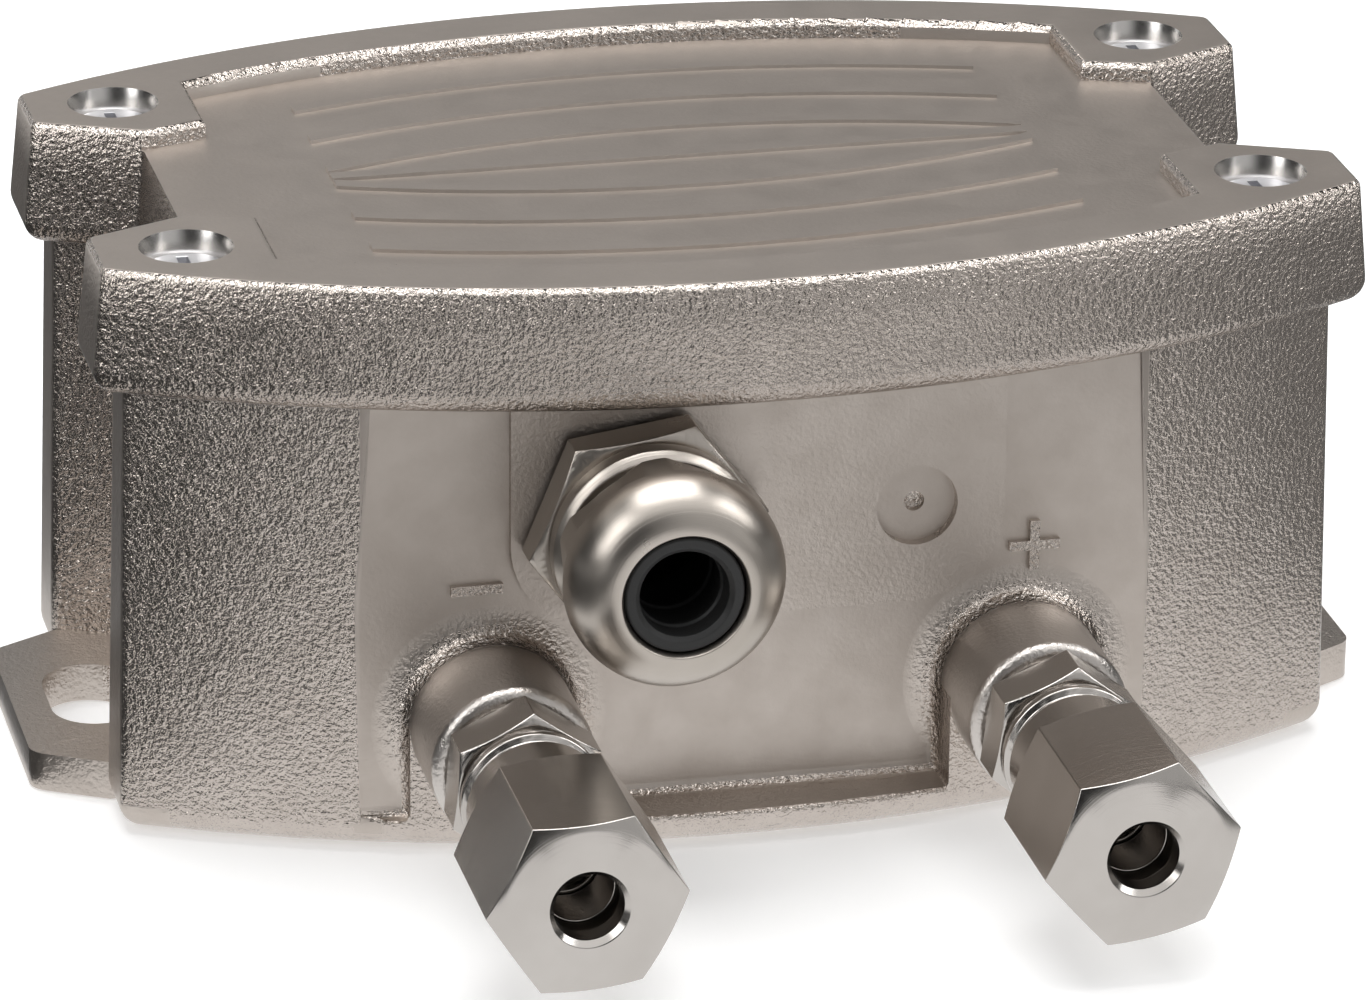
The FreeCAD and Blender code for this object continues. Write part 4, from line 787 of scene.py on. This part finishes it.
# %% [markdown]
# ## Studio
# A white table that runs on as the backdrop, a large soft lamp overhead, softer ones at the sides,
# and dark cards on all sides. Polished metal shows what stands around it, so the cards are what
# gives the steel its dark flats.

# %% Floor and world
def make_floor():
    """A white table top that keeps the object's shadow."""
    bpy.ops.mesh.primitive_plane_add(size=12, location=(0, 0, -0.0002))
    floor = bpy.context.object
    floor.name = "studio_floor"
    material = new_material("white_table")
    tree = material.node_tree
    output = add_node(tree, "ShaderNodeOutputMaterial")
    matt = add_node(tree, "ShaderNodeBsdfDiffuse", inputs={"Color": (0.86, 0.86, 0.86, 1)})
    glow = add_node(tree, "ShaderNodeEmission", inputs={"Color": (1, 1, 1, 1)})
    path = add_node(tree, "ShaderNodeLightPath")
    strength = add_math(tree, "MULTIPLY", path.outputs["Is Camera Ray"], 0.3)
    tree.links.new(strength, glow.inputs["Strength"])
    both = add_node(tree, "ShaderNodeAddShader")
    tree.links.new(matt.outputs[0], both.inputs[0])
    tree.links.new(glow.outputs[0], both.inputs[1])
    white = add_node(tree, "ShaderNodeEmission", inputs={"Color": (1, 1, 1, 1)})
    seen = add_node(tree, "ShaderNodeMixShader")
    tree.links.new(path.outputs["Is Glossy Ray"], seen.inputs[0])
    tree.links.new(both.outputs[0], seen.inputs[1])
    tree.links.new(white.outputs[0], seen.inputs[2])
    tree.links.new(seen.outputs[0], output.inputs["Surface"])
    floor.data.materials.append(material)


def make_world():
    """White for the camera and for reflections, a moderate grey for the light itself."""
    world = bpy.data.worlds.new("studio_world")
    bpy.context.scene.world = world
    world.use_nodes = True
    tree = world.node_tree
    tree.nodes.clear()
    output = add_node(tree, "ShaderNodeOutputWorld")
    back = add_node(tree, "ShaderNodeBackground", inputs={"Color": (1, 1, 1, 1)})
    path = add_node(tree, "ShaderNodeLightPath")
    seen = add_math(tree, "ADD", path.outputs["Is Camera Ray"], path.outputs["Is Glossy Ray"])
    seen = add_math(tree, "ADD", seen, path.outputs["Is Transmission Ray"])
    strength = add_node(tree, "ShaderNodeMapRange", inputs={"To Min": 0.5, "To Max": 1.0})
    tree.links.new(seen, strength.inputs["Value"])
    tree.links.new(strength.outputs[0], back.inputs["Strength"])
    tree.links.new(back.outputs[0], output.inputs["Surface"])


make_floor()
make_world()
print("white table and world ready")


# %% Lamps and dark cards
def aim(thing, target):
    """Turns a lamp or card so that its -Z axis points at a place."""
    direction = Vector(target) - thing.location
    thing.rotation_euler = direction.to_track_quat("-Z", "Y").to_euler()


def add_lamp(name, place, target, wide, high, power):
    """A rectangular soft lamp."""
    data = bpy.data.lights.new(name, "AREA")
    data.shape = "RECTANGLE"
    data.size = wide
    data.size_y = high
    data.energy = power
    lamp = bpy.data.objects.new(name, data)
    lamp.location = place
    aim(lamp, target)
    bpy.context.scene.collection.objects.link(lamp)


def add_card(name, place, target, wide, high, grey, far_grey=None, fade_width=None):
    """A dark card that only reflections see; it may fade to far_grey towards its +X end."""
    fade_width = fade_width or wide
    mesh = bpy.data.meshes.new(name)
    half_w, half_h = wide / 2, high / 2
    mesh.from_pydata([(-half_w, -half_h, 0), (half_w, -half_h, 0), (half_w, half_h, 0),
                      (-half_w, half_h, 0)], [], [(0, 1, 2, 3)])
    card = bpy.data.objects.new(name, mesh)
    card.location = place
    aim(card, target)
    bpy.context.scene.collection.objects.link(card)
    material = new_material(name)
    tree = material.node_tree
    output = add_node(tree, "ShaderNodeOutputMaterial")
    matt = add_node(tree, "ShaderNodeEmission")
    where = add_node(tree, "ShaderNodeSeparateXYZ")
    tree.links.new(add_node(tree, "ShaderNodeTexCoord").outputs["Object"], where.inputs[0])
    fade = add_node(tree, "ShaderNodeMapRange", inputs={
        "From Min": -fade_width / 2, "From Max": fade_width / 2, "To Min": grey,
        "To Max": grey if far_grey is None else far_grey})
    tree.links.new(where.outputs["X"], fade.inputs["Value"])
    tree.links.new(fade.outputs[0], matt.inputs["Strength"])
    tree.links.new(matt.outputs[0], output.inputs["Surface"])
    mesh.materials.append(material)
    card.visible_camera = False
    card.visible_diffuse = False
    card.visible_shadow = False
    card.visible_transmission = False


CENTRE = (0, 0, 0.03)
add_lamp("overhead_softbox", (0.0, 0.15, 1.1), CENTRE, 0.9, 0.7, 9)
add_lamp("left_softbox", (-1.0, -0.5, 0.7), CENTRE, 0.5, 0.8, 4)
add_lamp("right_softbox", (1.1, -0.3, 0.8), CENTRE, 0.4, 0.7, 3.5)
add_card("card_behind_camera", (0.0, -1.4, 0.55), CENTRE, 3.0, 1.5, 0.02, 0.55, 0.7)
add_card("card_left", (-1.5, 0.0, 0.4), CENTRE, 2.4, 1.4, 0.03)
add_card("card_right", (1.6, 0.0, 0.4), CENTRE, 2.2, 1.4, 0.05)
add_card("card_rear", (0.34, 1.6, 0.75), CENTRE, 2.6, 1.2, 0.02, 0.30, 0.5)
add_card("card_ceiling", (0.0, 0.95, 1.6), (0.0, 0.95, 0.0), 3.0, 1.8, 0.15)
add_card("mat_left", (-0.35, -0.1, 0.0002), (-0.35, -0.1, -1), 0.56, 1.2, 0.02, 0.06)
add_card("mat_right", (0.365, -0.1, 0.0002), (0.365, -0.1, -1), 0.56, 1.2, 0.22, 0.04)
print("3 lamps, 7 cards")

# %% [markdown]
# ## Camera
# A long lens from the front left, a little above, so that the case's long edges stay nearly
# parallel. The three axes of the camera follow from its azimuth, elevation and roll.

# %% Camera
azimuth, elevation, roll = -0.243153, 0.392489, 0.015719
back = Vector((math.sin(azimuth) * math.cos(elevation), -math.cos(azimuth) * math.cos(elevation),
               math.sin(elevation)))
right = (-back).cross(Vector((0, 0, 1))).normalized()
up = right.cross(-back)
turned_right = right * math.cos(roll) + up * math.sin(roll)
turned_up = up * math.cos(roll) - right * math.sin(roll)
camera_data = bpy.data.cameras.new("camera")
camera_data.lens = 198.5
camera_data.sensor_width = 36
camera_data.clip_start = 0.01
camera = bpy.data.objects.new("camera", camera_data)
camera.matrix_world = Matrix.Translation((-0.17199, -0.69742, 0.31766)) @ Matrix(
    (turned_right, turned_up, back)).transposed().to_4x4()
bpy.context.scene.collection.objects.link(camera)
bpy.context.scene.camera = camera
bpy.context.scene.view_settings.view_transform = "Standard"
print("camera at", tuple(camera.matrix_world.translation))
